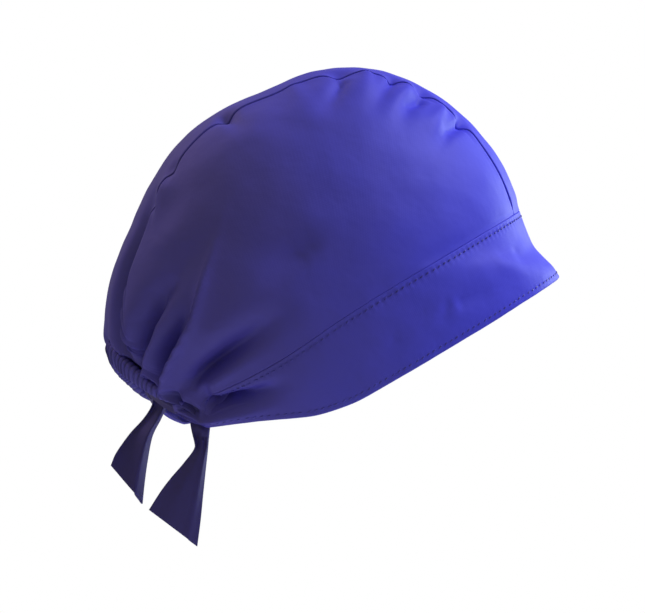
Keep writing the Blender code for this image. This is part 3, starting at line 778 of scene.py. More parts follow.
def panel_line(side, a):
    """A panel column's two ends on the unit cap, and how far its foot is along the elastic."""
    if a < BAND_SHARE:
        turn = START_TURN + (BAND_TURN - START_TURN) * a / BAND_SHARE
        foot = level_point(side * turn, SEAM(turn) * BAND_HEIGHT / CROWN_HEIGHT)
        along = -(1 - a / BAND_SHARE)
    else:
        share = (a - BAND_SHARE) / (1 - BAND_SHARE)
        across = END_ACROSS + (REAR_ACROSS - END_ACROSS) * share
        foot = fan_point(angle_at_height(across, nape_up(across), BACK_ANGLES), side * across)
        along = share
    angle = front_angle + (rear_angle - front_angle) * a
    return foot, fan_point(angle, side * strip_edge(angle)), along


def panel_columns(side):
    lines = []
    for i in range(PANEL_COLUMNS + 1):
        a = 1 - (1 - i / PANEL_COLUMNS) ** 1.5
        foot, top, along = panel_line(side, a)
        start = foot - UNIT_MIDDLE
        end = top - UNIT_MIDDLE
        span = (end - start).length
        points = [foot]
        if span > 1e-4:
            for k in range(1, 13):
                points.append(along_ray(start.normalized().slerp(end.normalized(), k / 12)))
        length = sum((real(q) - real(p)).length for p, q in zip(points, points[1:]))
        lines.append((foot, top, along, max(length, 1e-4)))
    return lines


def lobe(inset, loft):
    """How far a fold's end stands out and hangs down over the elastic, at a distance from the seam."""
    near = fade(max(inset, 0.0) / LOBE_REACH)
    stand = LOBE_OUT * (0.35 + 1.15 * loft)
    hang = LOBE_DOWN * max(loft + 0.05, 0.0)
    return stand * near, hang * near * near + SEWN_LOWER * fade(max(inset, 0.0) / 0.030)


def held_edge(own, extra=0.0):
    """A push kept within what a gathered edge can do on its channel."""
    return min(max(own, -EDGE_IN - extra), EDGE_OUT)


def side_panel(name, side, folds, dips, seed):
    lines = panel_columns(side)
    feet = [0.0]
    for before, after in zip(lines, lines[1:]):
        feet.append(feet[-1] + (real(after[0]) - real(before[0])).length)
    sewn_end = next(feet[k] for k, line in enumerate(lines) if line[2] >= 0.0)
    lofts = []
    for foot, top, along, length in lines:
        start = (foot - UNIT_MIDDLE).normalized()
        near = along_ray(start.slerp((top - UNIT_MIDDLE).normalized(), min(0.008 / length, 1.0)))
        lofts.append(min(max(fold_push(folds, near, held=0.0) / 0.0050, -0.7), 1.0))

    def place(i, j):
        foot, top, along, length = lines[i]
        inset = edge_insets(PANEL_ROWS, length)[j]
        share = min(max(inset / length, 0.0), 1.0)
        start = foot - UNIT_MIDDLE
        end = top - UNIT_MIDDLE
        if length > 3e-4:
            unit = along_ray(start.normalized().slerp(end.normalized(), share))
        else:
            unit = top
        base = real(unit)
        out = outwards(base)
        on_elastic = eased((along + 0.07) / 0.09)
        from_top = length - inset
        push = fold_push(folds, unit, held=0.35) + fold_push(top_puckers, unit, held=0.0)
        loose = 1.0 - fade(from_top / 0.008)
        push += (0.0009 * drape(base, 0.045, seed) + 0.00035 * drape(base, 0.014, seed + 4.0)) * loose
        push += PUFF * (1.0 - fade(min(inset, from_top) / 0.006))
        angle = math.degrees(math.atan2(top.z - UNIT_MIDDLE.z, top.x - UNIT_MIDDLE.x)) % 360.0
        push -= pinch(dips, angle) * fade(from_top / 0.016)
        past_end = feet[i] - sewn_end
        pit = recess(past_end, inset)
        push -= pit
        sewn = band_push(foot, real(foot), past_end, 0.0)
        sewn += (held_edge(push, pit) - sewn) * on_elastic
        push += (sewn - push) * fade(max(inset, 0.0) / SEAM_BLEND)
        push += gather(feet[i], inset, seed) * on_elastic * loose
        stand, hang = lobe(inset, lofts[i] * loose)
        push += stand * on_elastic * (1.0 - pit / RECESS_DEPTH)
        hang += (PIT_HANG * fade(abs(past_end - 0.005) / 0.012) * fade(max(inset, 0.0) / 0.006)
                 / max(on_elastic, 0.2))
        behind = max(-inset, 0.0) * on_elastic
        hang += BEHIND * (0.4 + 0.6 * eased(along / 0.5)) * behind / ALLOWANCE
        push -= roll_drop(inset + behind, ROLL + (LOBE_ROLL - ROLL) * on_elastic) + roll_drop(from_top)
        along_seam = real(fan_point(angle + 1.0, side * strip_edge(angle + 1.0))) - real(top)
        down = (real(foot) - real(top)).normalized().lerp(along_seam.normalized(), fade(from_top / 0.020))
        down = (down - out * down.dot(out)).normalized()
        # painted shade in the seams' grooves and the pit
        painted_shade_share = seam_shade(roll_drop(inset), roll_drop(from_top)) + PIT_SHADE * pit / RECESS_DEPTH
        return base + out * push + down * (hang * on_elastic), (feet[i], inset), painted_shade_share

    return bent_cloth(name, PANEL_COLUMNS, PANEL_ROWS, place)


panel_right = side_panel("side_cloth_right", -1, right_folds, RIGHT_DIPS, 11.0)
panel_left = side_panel("side_cloth_left", 1, left_folds, LEFT_DIPS, 23.0)

# %% [markdown]
# ## The centre panel
# One strip runs from the forehead over the top of the head to the nape, where the elastic gathers it. It is
# drawn in by the puckered seams on both sides, and it sinks beside them over the back of the head.

# %% Centre panel
STRIP_COLUMNS = 270
STRIP_ROWS_ACROSS = 64
STRIP_PROUD = 0.0008            # the strip's turned edge lies over the side panels' edges, a little proud
# HOLLOW_SHADE is painted shade in the hollow beside the side seams
HOLLOW_SHADE = 0.40
Hollow = namedtuple("Hollow", "angle depth")
HOLLOW_ROWS = [
    Hollow(115.0, 0.00),
    Hollow(134.0, 0.60),
    Hollow(152.0, 1.30),
    Hollow(174.0, 1.20),
    Hollow(200.0, 0.40),
]
HOLLOW = smooth_curve([r.angle for r in HOLLOW_ROWS], [r.depth for r in HOLLOW_ROWS])
strip_keys = [k / 8 for k in range(9)]
strip_limits = [strip_ends(key) for key in strip_keys]
STRIP_FRONT = smooth_curve(strip_keys, [ends[0] for ends in strip_limits])
STRIP_REAR = smooth_curve(strip_keys, [ends[1] for ends in strip_limits])


def strip_lengths(steps=60):
    front, rear = strip_limits[0]
    points = [real(fan_point(front + (rear - front) * k / steps, 0.0)) for k in range(steps + 1)]
    return sum((b - a).length for a, b in zip(points, points[1:]))


STRIP_LENGTH = strip_lengths()


def place_strip(i, j):
    insets = edge_insets(STRIP_COLUMNS, STRIP_LENGTH)
    inset = insets[i]
    a = min(max(inset / STRIP_LENGTH, 0.0), 1.0)
    mean_angle = STRIP_FRONT(0.5) + (STRIP_REAR(0.5) - STRIP_FRONT(0.5)) * a
    half = strip_edge(mean_angle) * CAP_WIDTH / 2
    cross = edge_insets(STRIP_ROWS_ACROSS, 2 * half)[j]
    share = min(max(cross / half - 1.0, -1.0), 1.0)
    front = STRIP_FRONT(abs(share))
    rear = STRIP_REAR(abs(share))
    angle = front + (rear - front) * a
    unit = fan_point(angle, share * strip_edge(angle))
    base = real(unit)
    near_edge = share * share
    side_folds, dips = (right_folds, RIGHT_DIPS) if share < 0 else (left_folds, LEFT_DIPS)
    push = fold_push(top_puckers, unit, held=0.0) * near_edge * near_edge
    push += fold_push(side_folds, unit, held=0.35) * near_edge
    edge = min(cross, 2 * half - cross)
    loose = 1.0 - fade(edge / 0.008)
    push -= pinch(dips, angle % 360.0) * fade(edge / 0.007)
    sunk = HOLLOW(angle) * math.exp(-(((abs(share) - 0.76) / 0.17) ** 2))
    push -= sunk * FOLD_DEPTH * (1.0 - SEAM_HOLD * fade((STRIP_LENGTH - inset) / 0.02))
    push += (0.0006 * drape(base, 0.030, 31.0) + 0.0003 * drape(base, 0.010, 35.0)) * loose
    push += STRIP_PROUD * (1.0 - fade(min(inset, STRIP_LENGTH - inset) / 0.006))
    to_elastic = STRIP_LENGTH - inset
    sewn = band_push(unit, base, -BAND_LENGTH / 2, 0.0)
    push += (sewn - push) * fade(max(inset, 0.0) / SEAM_BLEND)
    push += (held_edge(push) - push) * fade(max(to_elastic, 0.0) / SEAM_BLEND)
    push += gather(unit.y * CAP_WIDTH / 2, to_elastic, 41.0) * loose
    stand, hang = lobe(to_elastic, 0.18 * math.sin(unit.y * 24.0) * loose)
    push += stand
    further = real(fan_point(angle + 1.0, share * strip_edge(angle + 1.0)))
    down = (further - base).normalized()
    push -= roll_drop(inset) + roll_drop(max(to_elastic, 0.0), LOBE_ROLL)
    hang += BEHIND * max(-to_elastic, 0.0) / ALLOWANCE
    push -= roll_drop(cross) + roll_drop(2 * half - cross)
    # painted shade in the grooves at the edges and in the hollow
    painted_shade_share = seam_shade(roll_drop(inset), roll_drop(to_elastic), roll_drop(cross), roll_drop(2 * half - cross))
    painted_shade_share += HOLLOW_SHADE * sunk
    return base + outwards(base) * push + down * hang, (inset, cross), painted_shade_share


strip = bent_cloth("centre_cloth", STRIP_COLUMNS, STRIP_ROWS_ACROSS, place_strip)

# %% [markdown]
# ## The elastic channel
# The channel is a flat tube of cloth with an elastic inside that is shorter than the cloth, so the cloth
# stands in narrow ribs across it. A tube is bridged from ring to ring, and the ribs raise its outer face
# most. No two ribs are the same width, so their spacing drifts with a slow noise.


# %% Elastic channel
def tube(name, rings, cut_step, cut_round, painted_rib_shade=None):
    """A closed tube through rings of equal length, with flat ends and its cloth coordinates."""
    steps = len(rings) - 1
    sides = len(rings[0])
    bm = bmesh.new()
    bmesh.ops.create_grid(bm, x_segments=steps, y_segments=sides, size=0.5)
    uv = bm.loops.layers.uv.new("cloth")
    # painted shade in the grooves between the ribs
    depth = bm.verts.layers.float.new("painted_shade")
    flat = {}
    for vert in bm.verts:
        i = round((vert.co.x + 0.5) * steps)
        j = round((vert.co.y + 0.5) * sides)
        flat[vert] = (i * cut_step, j * cut_round)
        vert[depth] = painted_rib_shade[i] if painted_rib_shade else 0.0
        vert.co = WORN @ rings[i][j % sides]
    for face in bm.faces:
        for loop in face.loops:
            loop[uv].uv = flat[loop.vert]
    bmesh.ops.remove_doubles(bm, verts=bm.verts, dist=1e-6)
    bmesh.ops.holes_fill(bm, edges=bm.edges, sides=sides)
    bmesh.ops.recalc_face_normals(bm, faces=bm.faces)
    area = sum(f.calc_area() for f in bm.faces)
    print(f"{name}: {steps} rings of {sides}, {area * 10000:.1f} square cm all round")
    return finished(name, bm)


CASING_RINGS = 440
CASING_SIDES = 28
RIB_PITCH = 0.0038
RIB_HEIGHT = 0.0022


def casing_edge(share):
    across = share * END_ACROSS * CASING_REACH
    return real(fan_point(angle_at_height(abs(across), nape_up(across), BACK_ANGLES), across))


casing_keys = [-1 + 2 * k / 60 for k in range(61)]
casing_points = [casing_edge(key) for key in casing_keys]
casing_lengths = [0.0]
for before, after in zip(casing_points, casing_points[1:]):
    casing_lengths.append(casing_lengths[-1] + (after - before).length)
CASING_LENGTH = casing_lengths[-1]
casing_share = smooth_curve(casing_lengths, casing_keys)
casing_top = [smooth_curve(casing_lengths, [p[k] for p in casing_points]) for k in range(3)]


def rib(along, seed):
    """0 in the groove between two ribs, 1 on a rib."""
    phase = along / RIB_PITCH + 0.9 * noise.noise(Vector((along * 70.0, seed, 2.0)))
    return abs(math.sin(math.pi * phase)) ** 0.75


rings = []
painted_rib_shade = []
for i in range(CASING_RINGS + 1):
    along = CASING_LENGTH * i / CASING_RINGS
    share = casing_share(along)
    top = Vector([curve(along) for curve in casing_top])
    near = max(along - 0.001, 0.0)
    far = min(along + 0.001, CASING_LENGTH)
    ahead = Vector([curve(far) - curve(near) for curve in casing_top]).normalized()
    out = outwards(top)
    down = out.cross(ahead).normalized()
    if down.z > 0:
        down.negate()
    out = ahead.cross(down).normalized()
    if out.dot(top - CROWN_MIDDLE) < 0:
        out.negate()
    width = ELASTIC_WIDTH * (1.0 - CASING_TAPER * abs(share) ** 4)
    lower = min(SEWN_LOWER, 0.3 * width)
    width -= lower
    thickness = ELASTIC_THICKNESS * (1.0 - CASING_THINNING * abs(share) ** 4)
    proud = (ELASTIC_THICKNESS / 2 - 0.0018) * (1 - share * share)
    middle = top + down * (lower + width / 2 + 0.0003) + out * proud
    smooth_end = fade((abs(share) - 0.80) / 0.20)
    ring = []
    for k in range(CASING_SIDES):
        angle = 2 * math.pi * k / CASING_SIDES
        wide = abs(math.cos(angle)) ** 0.6 * math.copysign(width / 2, math.cos(angle))
        thin = abs(math.sin(angle)) ** 0.75 * math.copysign(thickness / 2, math.sin(angle))
        tilted = along + 0.0016 * math.cos(angle) * noise.noise(Vector((along * 120.0, 1.0, 0.0)))
        lift = RIB_HEIGHT * (rib(tilted, 3.0) - 0.6) * smooth_end * (0.35 + 0.65 * abs(math.sin(angle)))
        edge = 0.0006 * (rib(tilted, 3.0) - 0.5) * smooth_end * math.cos(angle)
        ring.append(middle + down * (wide + edge) + out * (thin + math.copysign(lift, thin)))
    rings.append(ring)
    # painted shade: darker in each groove between two ribs
    painted_rib_shade.append((1.0 - rib(along, 3.0)) ** 2 * smooth_end)
casing = tube("channel_cloth", rings, CASING_LENGTH * 1.8 / CASING_RINGS, 0.032 / CASING_SIDES, painted_rib_shade)
print(f"elastic channel: {CASING_LENGTH * 1000:.0f} mm as worn")

# %% [markdown]
# ## The two ties
# The ends of the band narrow into two ties that cross in a knot at the middle of the nape. A tie is a folded
# strip, so its tube has a soft lengthwise groove.

# %% Ties
VISIBLE_TIE = [
    TieStation(0.860, 0.13, -0.09, 0.60),
    TieStation(0.780, 0.15, -0.17, 0.62),
    TieStation(0.660, 0.21, -0.30, 0.62),
    TieStation(0.500, 0.28, -0.48, 0.62),
    TieStation(0.340, 0.34, -0.60, 0.64),
    TieStation(0.120, 0.385, -0.66, 0.62),
]
THIN_START = 0.12


def tie_section(side, i, stations):
    places = [tie_place(side, station) for station in stations]
    point, out = places[i]
    before = places[max(i - 1, 0)][0]
    after = places[min(i + 1, len(places) - 1)][0]
    ahead = (after - before).normalized()
    down = out.cross(ahead).normalized()
    if down.z > 0:
        down.negate()
    return point, down, ahead.cross(down).normalized(), TIE_WIDTH * stations[i].wide


def tie(name, side, seed):
    stations = [tie_section(side, i, VISIBLE_TIE) for i in range(len(VISIBLE_TIE))]
    keys = [i / (len(stations) - 1) for i in range(len(stations))]
    middle = [smooth_curve(keys, [s[0][k] for s in stations]) for k in range(3)]
    down_way = [smooth_curve(keys, [s[1][k] for s in stations]) for k in range(3)]
    out_way = [smooth_curve(keys, [s[2][k] for s in stations]) for k in range(3)]
    wide_at = smooth_curve(keys, [s[3] for s in stations])
    tie_rings = []
    for i in range(81):
        t = i / 80
        point = Vector([c(t) for c in middle])
        down = Vector([c(t) for c in down_way]).normalized()
        out = Vector([c(t) for c in out_way]).normalized()
        thick = TIE_THICKNESS * (THIN_START + (1.0 - THIN_START) * eased(t / 0.25))
        ring = []
        for k in range(36):
            angle = 2 * math.pi * k / 36
            across = math.copysign(abs(math.cos(angle)) ** 0.6, math.cos(angle))
            thin = math.copysign(abs(math.sin(angle)) ** 0.8, math.sin(angle)) * thick / 2
            crease = math.sin(across * 5.0 + 2.0 * t + seed) * 0.5 + math.sin(across * 9.0 - 3.0 * t) * 0.3
            lift = 0.00055 * crease * abs(math.sin(angle)) * thick / TIE_THICKNESS
            slack = 1.0 + 0.05 * noise.noise(Vector((t * 6.0, seed, 0.0)))
            wide = across * wide_at(t) / 2 * slack
            front = 1.0 if thin > 0 else 0.3
            ring.append(point + down * wide + out * (thin + math.copysign(lift, thin) * front))
        tie_rings.append(ring)
    return tube(name, tie_rings, 0.0006, 0.0006)


tie_cloth_right = tie("tie_cloth_right", -1, 0.0)
tie_cloth_left = tie("tie_cloth_left", 1, 1.7)

# %% [markdown]
# ## The knot
# A knot pulls both ties into one short lump. Two tubes that really cross would cost many faces for something
# this small, so it is a short core with one strap wrapped round it. The photo does not show the knot, so its
# place and size are a guess.

# %% Knot
inner_tie = tie_place(-1, TIE_STATIONS[-1])[0]
KNOT_PLACE = Vector((inner_tie.x + 0.15 * KNOT_SIZE, 0.0, inner_tie.z + 0.20 * KNOT_SIZE))
KNOT_REACH = abs(inner_tie.y)


def knot_wrap(tilt, radius_x, radius_z, breadth, thick, shift):
    """A strap wrapped once round the ties: an oval ring with a flat, creased section."""
    wrap_rings = []
    turn = Matrix.Rotation(math.radians(tilt), 3, "X")
    for i in range(72):
        angle = 2 * math.pi * i / 72
        out = Vector((math.cos(angle), 0.0, math.sin(angle)))
        centre = Vector((radius_x * math.cos(angle), 0.0, radius_z * math.sin(angle)))
        pinch = 1.0 - 0.25 * math.cos(angle + 0.8)
        ring = []
        for k in range(20):
            around = 2 * math.pi * k / 20
            wide = math.copysign(abs(math.cos(around)) ** 0.7, math.cos(around)) * breadth / 2 * pinch
            thin = math.copysign(abs(math.sin(around)) ** 0.8, math.sin(around)) * thick / 2
            crease = 0.00022 * math.sin(4.2 * math.cos(around) + 2 * math.sin(angle)) * abs(math.sin(around))
            spot = centre + out * (thin + crease) + Vector((0.0, wide, 0.0))
            ring.append(KNOT_PLACE + turn @ spot + Vector((0.0, shift, 0.0)))
        wrap_rings.append(ring)
    wrap_rings.append(wrap_rings[0])
    return wrap_rings


def closed_tube(bm, ring_list, uv):
    """Add a tube that ends where it began to a bmesh."""
    steps = len(ring_list) - 1
    sides = len(ring_list[0])
    made = bmesh.ops.create_grid(bm, x_segments=steps, y_segments=sides, size=0.5)["verts"]
    for vert in made:
        i = round((vert.co.x + 0.5) * steps)
        j = round((vert.co.y + 0.5) * sides)
        for loop in vert.link_loops:
            loop[uv].uv = (i * 0.0006, j * 0.0006)
        vert.co = WORN @ ring_list[i][j % sides]
    bmesh.ops.remove_doubles(bm, verts=made, dist=1e-6)


bm = bmesh.new()
knot_uv = bm.loops.layers.uv.new("cloth")
closed_tube(bm, knot_wrap(14.0, 0.0030, 0.0034, 0.0066, 0.0018, 0.0006), knot_uv)
core = []
for i in range(41):
    t = -1 + 2 * i / 40
    swell = math.sqrt(max(0.0, 1.0 - abs(t) ** 3.0)) * 0.9 + 0.02
    ring = []
    for k in range(28):
        angle = 2 * math.pi * k / 28
        ripple = 1.0 + 0.10 * math.cos(5 * angle + 3.0 * t)
        offset = Vector((math.cos(angle) * 0.0030, 0.0, math.sin(angle) * 0.0036)) * (swell * ripple)
        ring.append(KNOT_PLACE + offset + Vector((0.0, t * (KNOT_REACH + 0.0015), 0.0)))
    core.append(ring)
closed_tube(bm, core, knot_uv)
bmesh.ops.holes_fill(bm, edges=bm.edges, sides=28)
bmesh.ops.recalc_face_normals(bm, faces=bm.faces)
knot = finished("knot_cloth", bm)
print(f"knot at {[round(x, 4) for x in WORN @ KNOT_PLACE]}")

# %% [markdown]
# ## The two tie ends
# The ties' ends hang free. The left one hangs from the knot. In the photo the right one starts at the band's
# rear corner, so it hangs from there, and how it really joins the knot is not seen.
# Each is a strip that starts pleated and narrow, then opens like a fan to
# a slanting cut. Its two edges are curves from a short table, and creases run lengthwise between them.

# %% Tie ends
TailRow = namedtuple("TailRow", "front_down front_back rear_down rear_back out crease")
RIGHT_TAIL = [
    TailRow(0.00, -0.170, 0.00, 0.220, 0.00, 0.02),
    TailRow(0.14, -0.140, 0.14, 0.120, 0.02, 0.05),
    TailRow(0.23, -0.122, 0.22, 0.115, 0.03, 0.06),
    TailRow(0.39, -0.085, 0.34, 0.300, 0.04, 0.08),
    TailRow(0.57, -0.045, 0.44, 0.480, 0.05, 0.07),
    TailRow(0.79, 0.000, 0.55, 0.655, 0.05, 0.05),
    TailRow(1.00, 0.055, 0.705, 0.860, 0.04, 0.04),
]
LEFT_TAIL = [
    TailRow(0.00, -0.180, 0.00, 0.020, 0.00, 0.04),
    TailRow(0.12, -0.160, 0.11, 0.075, -0.02, 0.10),
    TailRow(0.23, -0.080, 0.23, 0.220, -0.04, 0.14),
    TailRow(0.40, 0.065, 0.36, 0.430, -0.05, 0.16),
    TailRow(0.65, 0.150, 0.49, 0.600, -0.05, 0.14),
    TailRow(0.86, 0.200, 0.58, 0.700, -0.04, 0.10),
    TailRow(1.055, 0.235, 0.68, 0.770, -0.03, 0.08),
]
TAIL_COLUMNS = 90
TAIL_ROWS = 44
DOWN = Matrix.Rotation(HEAD_TILT, 3, "Y") @ Vector((0, 0, -1))
REARWARDS = Matrix.Rotation(HEAD_TILT, 3, "Y") @ Vector((-1, 0, 0))
SIDEWAYS = Vector((0, -1, 0))


def tail(name, hang_front, hang_rear, rows, drop, crease_field):
    top = (hang_front + hang_rear) / 2
    keys = [i / (len(rows) - 1) for i in range(len(rows))]
    edge = {field: smooth_curve(keys, [getattr(row, field) for row in rows]) for field in TailRow._fields}

    def place(i, j):
        a = i / TAIL_COLUMNS
        b = j / TAIL_ROWS
        front = top + DOWN * edge["front_down"](a) * drop + REARWARDS * edge["front_back"](a) * TAIL_WIDTH
        rear = top + DOWN * edge["rear_down"](a) * drop + REARWARDS * edge["rear_back"](a) * TAIL_WIDTH
        ripple = math.sin(2 * math.pi * b) * 0.5 + math.sin(math.pi * b)
        swing = edge["out"](a) + edge["crease"](a) * ripple
        hanging = front.lerp(rear, b) + SIDEWAYS * (swing * TAIL_WIDTH + crease_field(a, b))
        spot = hanging.lerp(hang_front.lerp(hang_rear, b), fade(a / 0.16))
        return spot, (a * drop, b * TAIL_WIDTH), 0.0

    piece = bent_cloth(name, TAIL_COLUMNS, TAIL_ROWS, place, wall=0.0011)
    return piece


def right_creases(a, b):
    """Pleats at the pinched neck of the near tie end; below it only one crease stays, by the front edge."""
    below = eased((a - 0.22) / 0.20)
    crease = math.exp(-(((b - 0.20) / 0.09) ** 2)) * 0.0009
    crease += math.exp(-(((b - 0.66) / 0.20) ** 2)) * 0.0012
    rolls = 0.0012 * math.sin(a * 62.0 + b * 3.0) * fade(abs(a - 0.10) / 0.10) * math.sin(math.pi * b)
    neck = 0.0008 * math.sin(b * 15.0) * fade(abs(a - 0.24) / 0.22)
    return crease * below + rolls + neck


def left_creases(a, b):
    """One lengthwise fold runs the whole way: the rear half lies deeper, the front half catches the light."""
    fold = eased((b - 0.18) / 0.50) * -0.0030 + math.exp(-(((b - 0.30) / 0.10) ** 2)) * 0.0012
    neck = 0.0007 * math.sin(b * 14.0) * fade(a / 0.35)
    return fold * eased(a / 0.2) + neck


def tie_lower_edge(side, i):
    point, down, _, width = tie_section(side, i, TIE_STATIONS)
    return point + down * width / 2


TUCK = 0.0034                   # how far a tie end reaches up behind the hem
aside = Vector((0, -0.0009, 0))
lowered = aside + DOWN * (0.0015 - TUCK)
hem_corner = real(level_point(-BAND_TURN + 1.5, HEM(BAND_TURN) * BAND_HEIGHT / CROWN_HEIGHT)) + lowered
tie_corner = tie_lower_edge(-1, 0).lerp(tie_lower_edge(-1, 1), 0.9) + lowered
tail_right = tail("tie_end_right", hem_corner, tie_corner, RIGHT_TAIL, RIGHT_TAIL_DROP + TUCK, right_creases)
knot_under = KNOT_PLACE + DOWN * 0.0030 - REARWARDS * 0.0018 + aside
half = REARWARDS * KNOT_SIZE * 0.20
tail_left = tail(
    "tie_end_left", knot_under - half, knot_under + half, LEFT_TAIL, LEFT_TAIL_DROP * 1.05, left_creases
)

# %% [markdown]
# ## Stitches
# A lockstitch shows as short lengths of thread that dip into the cloth at both ends. Each one here is a small
# flattened ball, stretched along its row and laid a little askew, as a machine leaves it. They are all joined
# in one mesh for each row, because hundreds of separate objects would be slow.

# %% Stitch rows
STITCH_LENGTH = 0.0022
STITCH_WIDTH = 0.00085


def stitch_row(name, height_for, skew):
    """Stitches along the band, on its nearest column to each, at the height that height_for gives."""
    bm = bmesh.new()
    count = int(BAND_LENGTH / STITCH_PITCH)
    for k in range(count):
        i = round((k + 0.5) * STITCH_PITCH / BAND_LENGTH * BAND_COLUMNS)
        i = min(max(i, 1), BAND_COLUMNS - 1)
        column = band_columns[i]
        height = height_for(column)
        spot = band_surface(column, height)
        ahead = (band_surface(band_columns[i + 1], height)
                 - band_surface(band_columns[i - 1], height)).normalized()
        rise = band_surface(column, height + 0.0025) - band_surface(column, height - 0.0025)
        normal = ahead.cross(rise).normalized()
        if normal.dot(outwards(spot)) < 0:
            normal.negate()
        lay = math.radians(skew)
        long_way = ahead * math.cos(lay) + normal.cross(ahead) * math.sin(lay)
        side_way = normal.cross(long_way)
        turned = Matrix((long_way, side_way, normal)).transposed().to_4x4()
        size = Matrix.Diagonal((STITCH_LENGTH / 2, STITCH_WIDTH / 2, STITCH_WIDTH * 0.36, 1.0))
        matrix = Matrix.Translation(spot) @ turned @ size
        bmesh.ops.create_uvsphere(bm, u_segments=8, v_segments=5, radius=1.0, matrix=matrix)
    for vert in bm.verts:
        vert.co = WORN @ vert.co
    print(f"{name}: {count} stitches")
    return finished(name, bm)


seam_stitches = stitch_row("seam_stitches", lambda column: column.tall - SEAM_STITCH_AT, 18.0)
hem_stitches = stitch_row("hem_stitches", lambda column: HEM_STITCH_AT, 18.0)

# %% [markdown]
# ## Materials
# The cloth is polyester-cotton poplin: a plain weave of fine threads, smooth, with a soft satin glow where
# light grazes it. Its weave is about a third of a millimetre, too fine for the picture, so it is drawn three
# times as coarse and very shallow. The colour drifts slightly, as dyed cloth does. Colours are written the
# way a colour picker shows them and turned to linear light by one function.


# %% Colours and nodes
def linear(hex_colour):
    """An sRGB hex colour as linear RGBA."""
    channels = [int(hex_colour[k:k + 2], 16) / 255 for k in (1, 3, 5)]
    return tuple(c / 12.92 if c <= 0.04045 else ((c + 0.055) / 1.055) ** 2.4 for c in channels) + (1.0,)


def add_node(tree, kind, links=None, **settings):
    """Add a node, set its fields or inputs by name, and link inputs to other nodes' outputs."""
    node = tree.nodes.new(kind)
    for key, value in settings.items():
        if hasattr(node, key):
            setattr(node, key, value)
        else:
            node.inputs[key.replace("_", " ")].default_value = value
    for name, source in (links or {}).items():
        tree.links.new(source, node.inputs[name])
    return node


THREAD_SPACING = 0.0010         # the real weave is 0.35 mm; drawn coarser so that it shows
MIX_COLOUR_A, MIX_COLOUR_B, MIX_COLOUR_OUT = 6, 7, 2    # the Mix node's colour sockets


def poplin(name, colour, nape_shade_colour, roughness, sheen):
    """Poplin, woven and piece-dyed: an even, matt cloth with a soft glow where light grazes it."""
    made = bpy.data.materials.new(name)
    made.use_nodes = True
    tree = made.node_tree
    tree.nodes.clear()
    cut = add_node(tree, "ShaderNodeUVMap", uv_map="cloth").outputs["UV"]
    place = add_node(tree, "ShaderNodeTexCoord").outputs["Object"]
    # threads: two crossed waves, multiplied
    scale = 2 * math.pi / (THREAD_SPACING * 20.0)
    warp = add_node(tree, "ShaderNodeTexWave", {"Vector": cut},
                    wave_type="BANDS", bands_direction="X", Scale=scale, Distortion=0.4, Detail=1.0)
    weft = add_node(tree, "ShaderNodeTexWave", {"Vector": cut},
                    wave_type="BANDS", bands_direction="Y", Scale=scale, Distortion=0.4, Detail=1.0)
    weave = add_node(tree, "ShaderNodeMath", {0: warp.outputs["Fac"], 1: weft.outputs["Fac"]},
                     operation="MULTIPLY")
    slub = add_node(tree, "ShaderNodeTexNoise", {"Vector": place}, Scale=420.0, Detail=3.0)
    relief = add_node(tree, "ShaderNodeMath", {0: weave.outputs[0], 1: slub.outputs["Fac"]}, operation="ADD")
    threads = add_node(tree, "ShaderNodeBump", {"Height": relief.outputs[0]}, Strength=0.08, Distance=0.0002)
    # crumple: the shallow unevenness of washed cloth, 5 to 20 mm across
    crumple = add_node(tree, "ShaderNodeTexNoise", {"Vector": place}, Scale=42.0, Detail=3.0, Roughness=0.5)
    soft = add_node(tree, "ShaderNodeBump", {"Height": crumple.outputs["Fac"], "Normal": threads.outputs[0]},
                    Strength=0.40, Distance=0.0020)
    # colour: painted shade, darker and more violet towards the nape; a slow noise lets its edge wander
    across = add_node(tree, "ShaderNodeSeparateXYZ", {0: place}).outputs["X"]
    drift = add_node(tree, "ShaderNodeTexNoise", {"Vector": place}, Scale=26.0, Detail=3.0).outputs["Fac"]
    wander = add_node(tree, "ShaderNodeMath", {0: drift}, operation="MULTIPLY_ADD")
    wander.inputs[1].default_value = 0.050
    wander.inputs[2].default_value = -0.025
    shifted = add_node(tree, "ShaderNodeMath", {0: across, 1: wander.outputs[0]}, operation="ADD").outputs[0]
    nape_shade_mask = add_node(tree, "ShaderNodeMapRange", {"Value": shifted}, interpolation_type="SMOOTHSTEP")
    nape_shade_mask.inputs["From Min"].default_value = 0.055
    nape_shade_mask.inputs["From Max"].default_value = -0.120
    colour_with_nape_shade = add_node(tree, "ShaderNodeMix", {"Factor": nape_shade_mask.outputs[0]}, data_type="RGBA")
    colour_with_nape_shade.inputs[MIX_COLOUR_A].default_value = linear(colour)
    colour_with_nape_shade.inputs[MIX_COLOUR_B].default_value = linear(nape_shade_colour)
    # painted shade: the colour darkens deep in seams, rib grooves, the pit and the hollow
    painted_shade_share = add_node(tree, "ShaderNodeAttribute", attribute_name="painted_shade").outputs["Fac"]
    shade = add_node(tree, "ShaderNodeMapRange", {"Value": painted_shade_share})
    shade.inputs["To Min"].default_value = 1.0
    shade.inputs["To Max"].default_value = 0.30
    shaded_colour = add_node(tree, "ShaderNodeVectorMath", {0: colour_with_nape_shade.outputs[MIX_COLOUR_OUT]}, operation="SCALE")
    tree.links.new(shade.outputs[0], shaded_colour.inputs["Scale"])
    shader = add_node(tree, "ShaderNodeBsdfPrincipled",
                      {"Base Color": shaded_colour.outputs[0], "Normal": soft.outputs[0]},
                      Roughness=roughness)
    shader.inputs["IOR"].default_value = 1.46
    shader.inputs["Sheen Weight"].default_value = sheen
    shader.inputs["Sheen Roughness"].default_value = 0.45
    shader.inputs["Sheen Tint"].default_value = linear("#8878ff")
    add_node(tree, "ShaderNodeOutputMaterial", {"Surface": shader.outputs[0]})
    print("material:", name, colour)
    return made


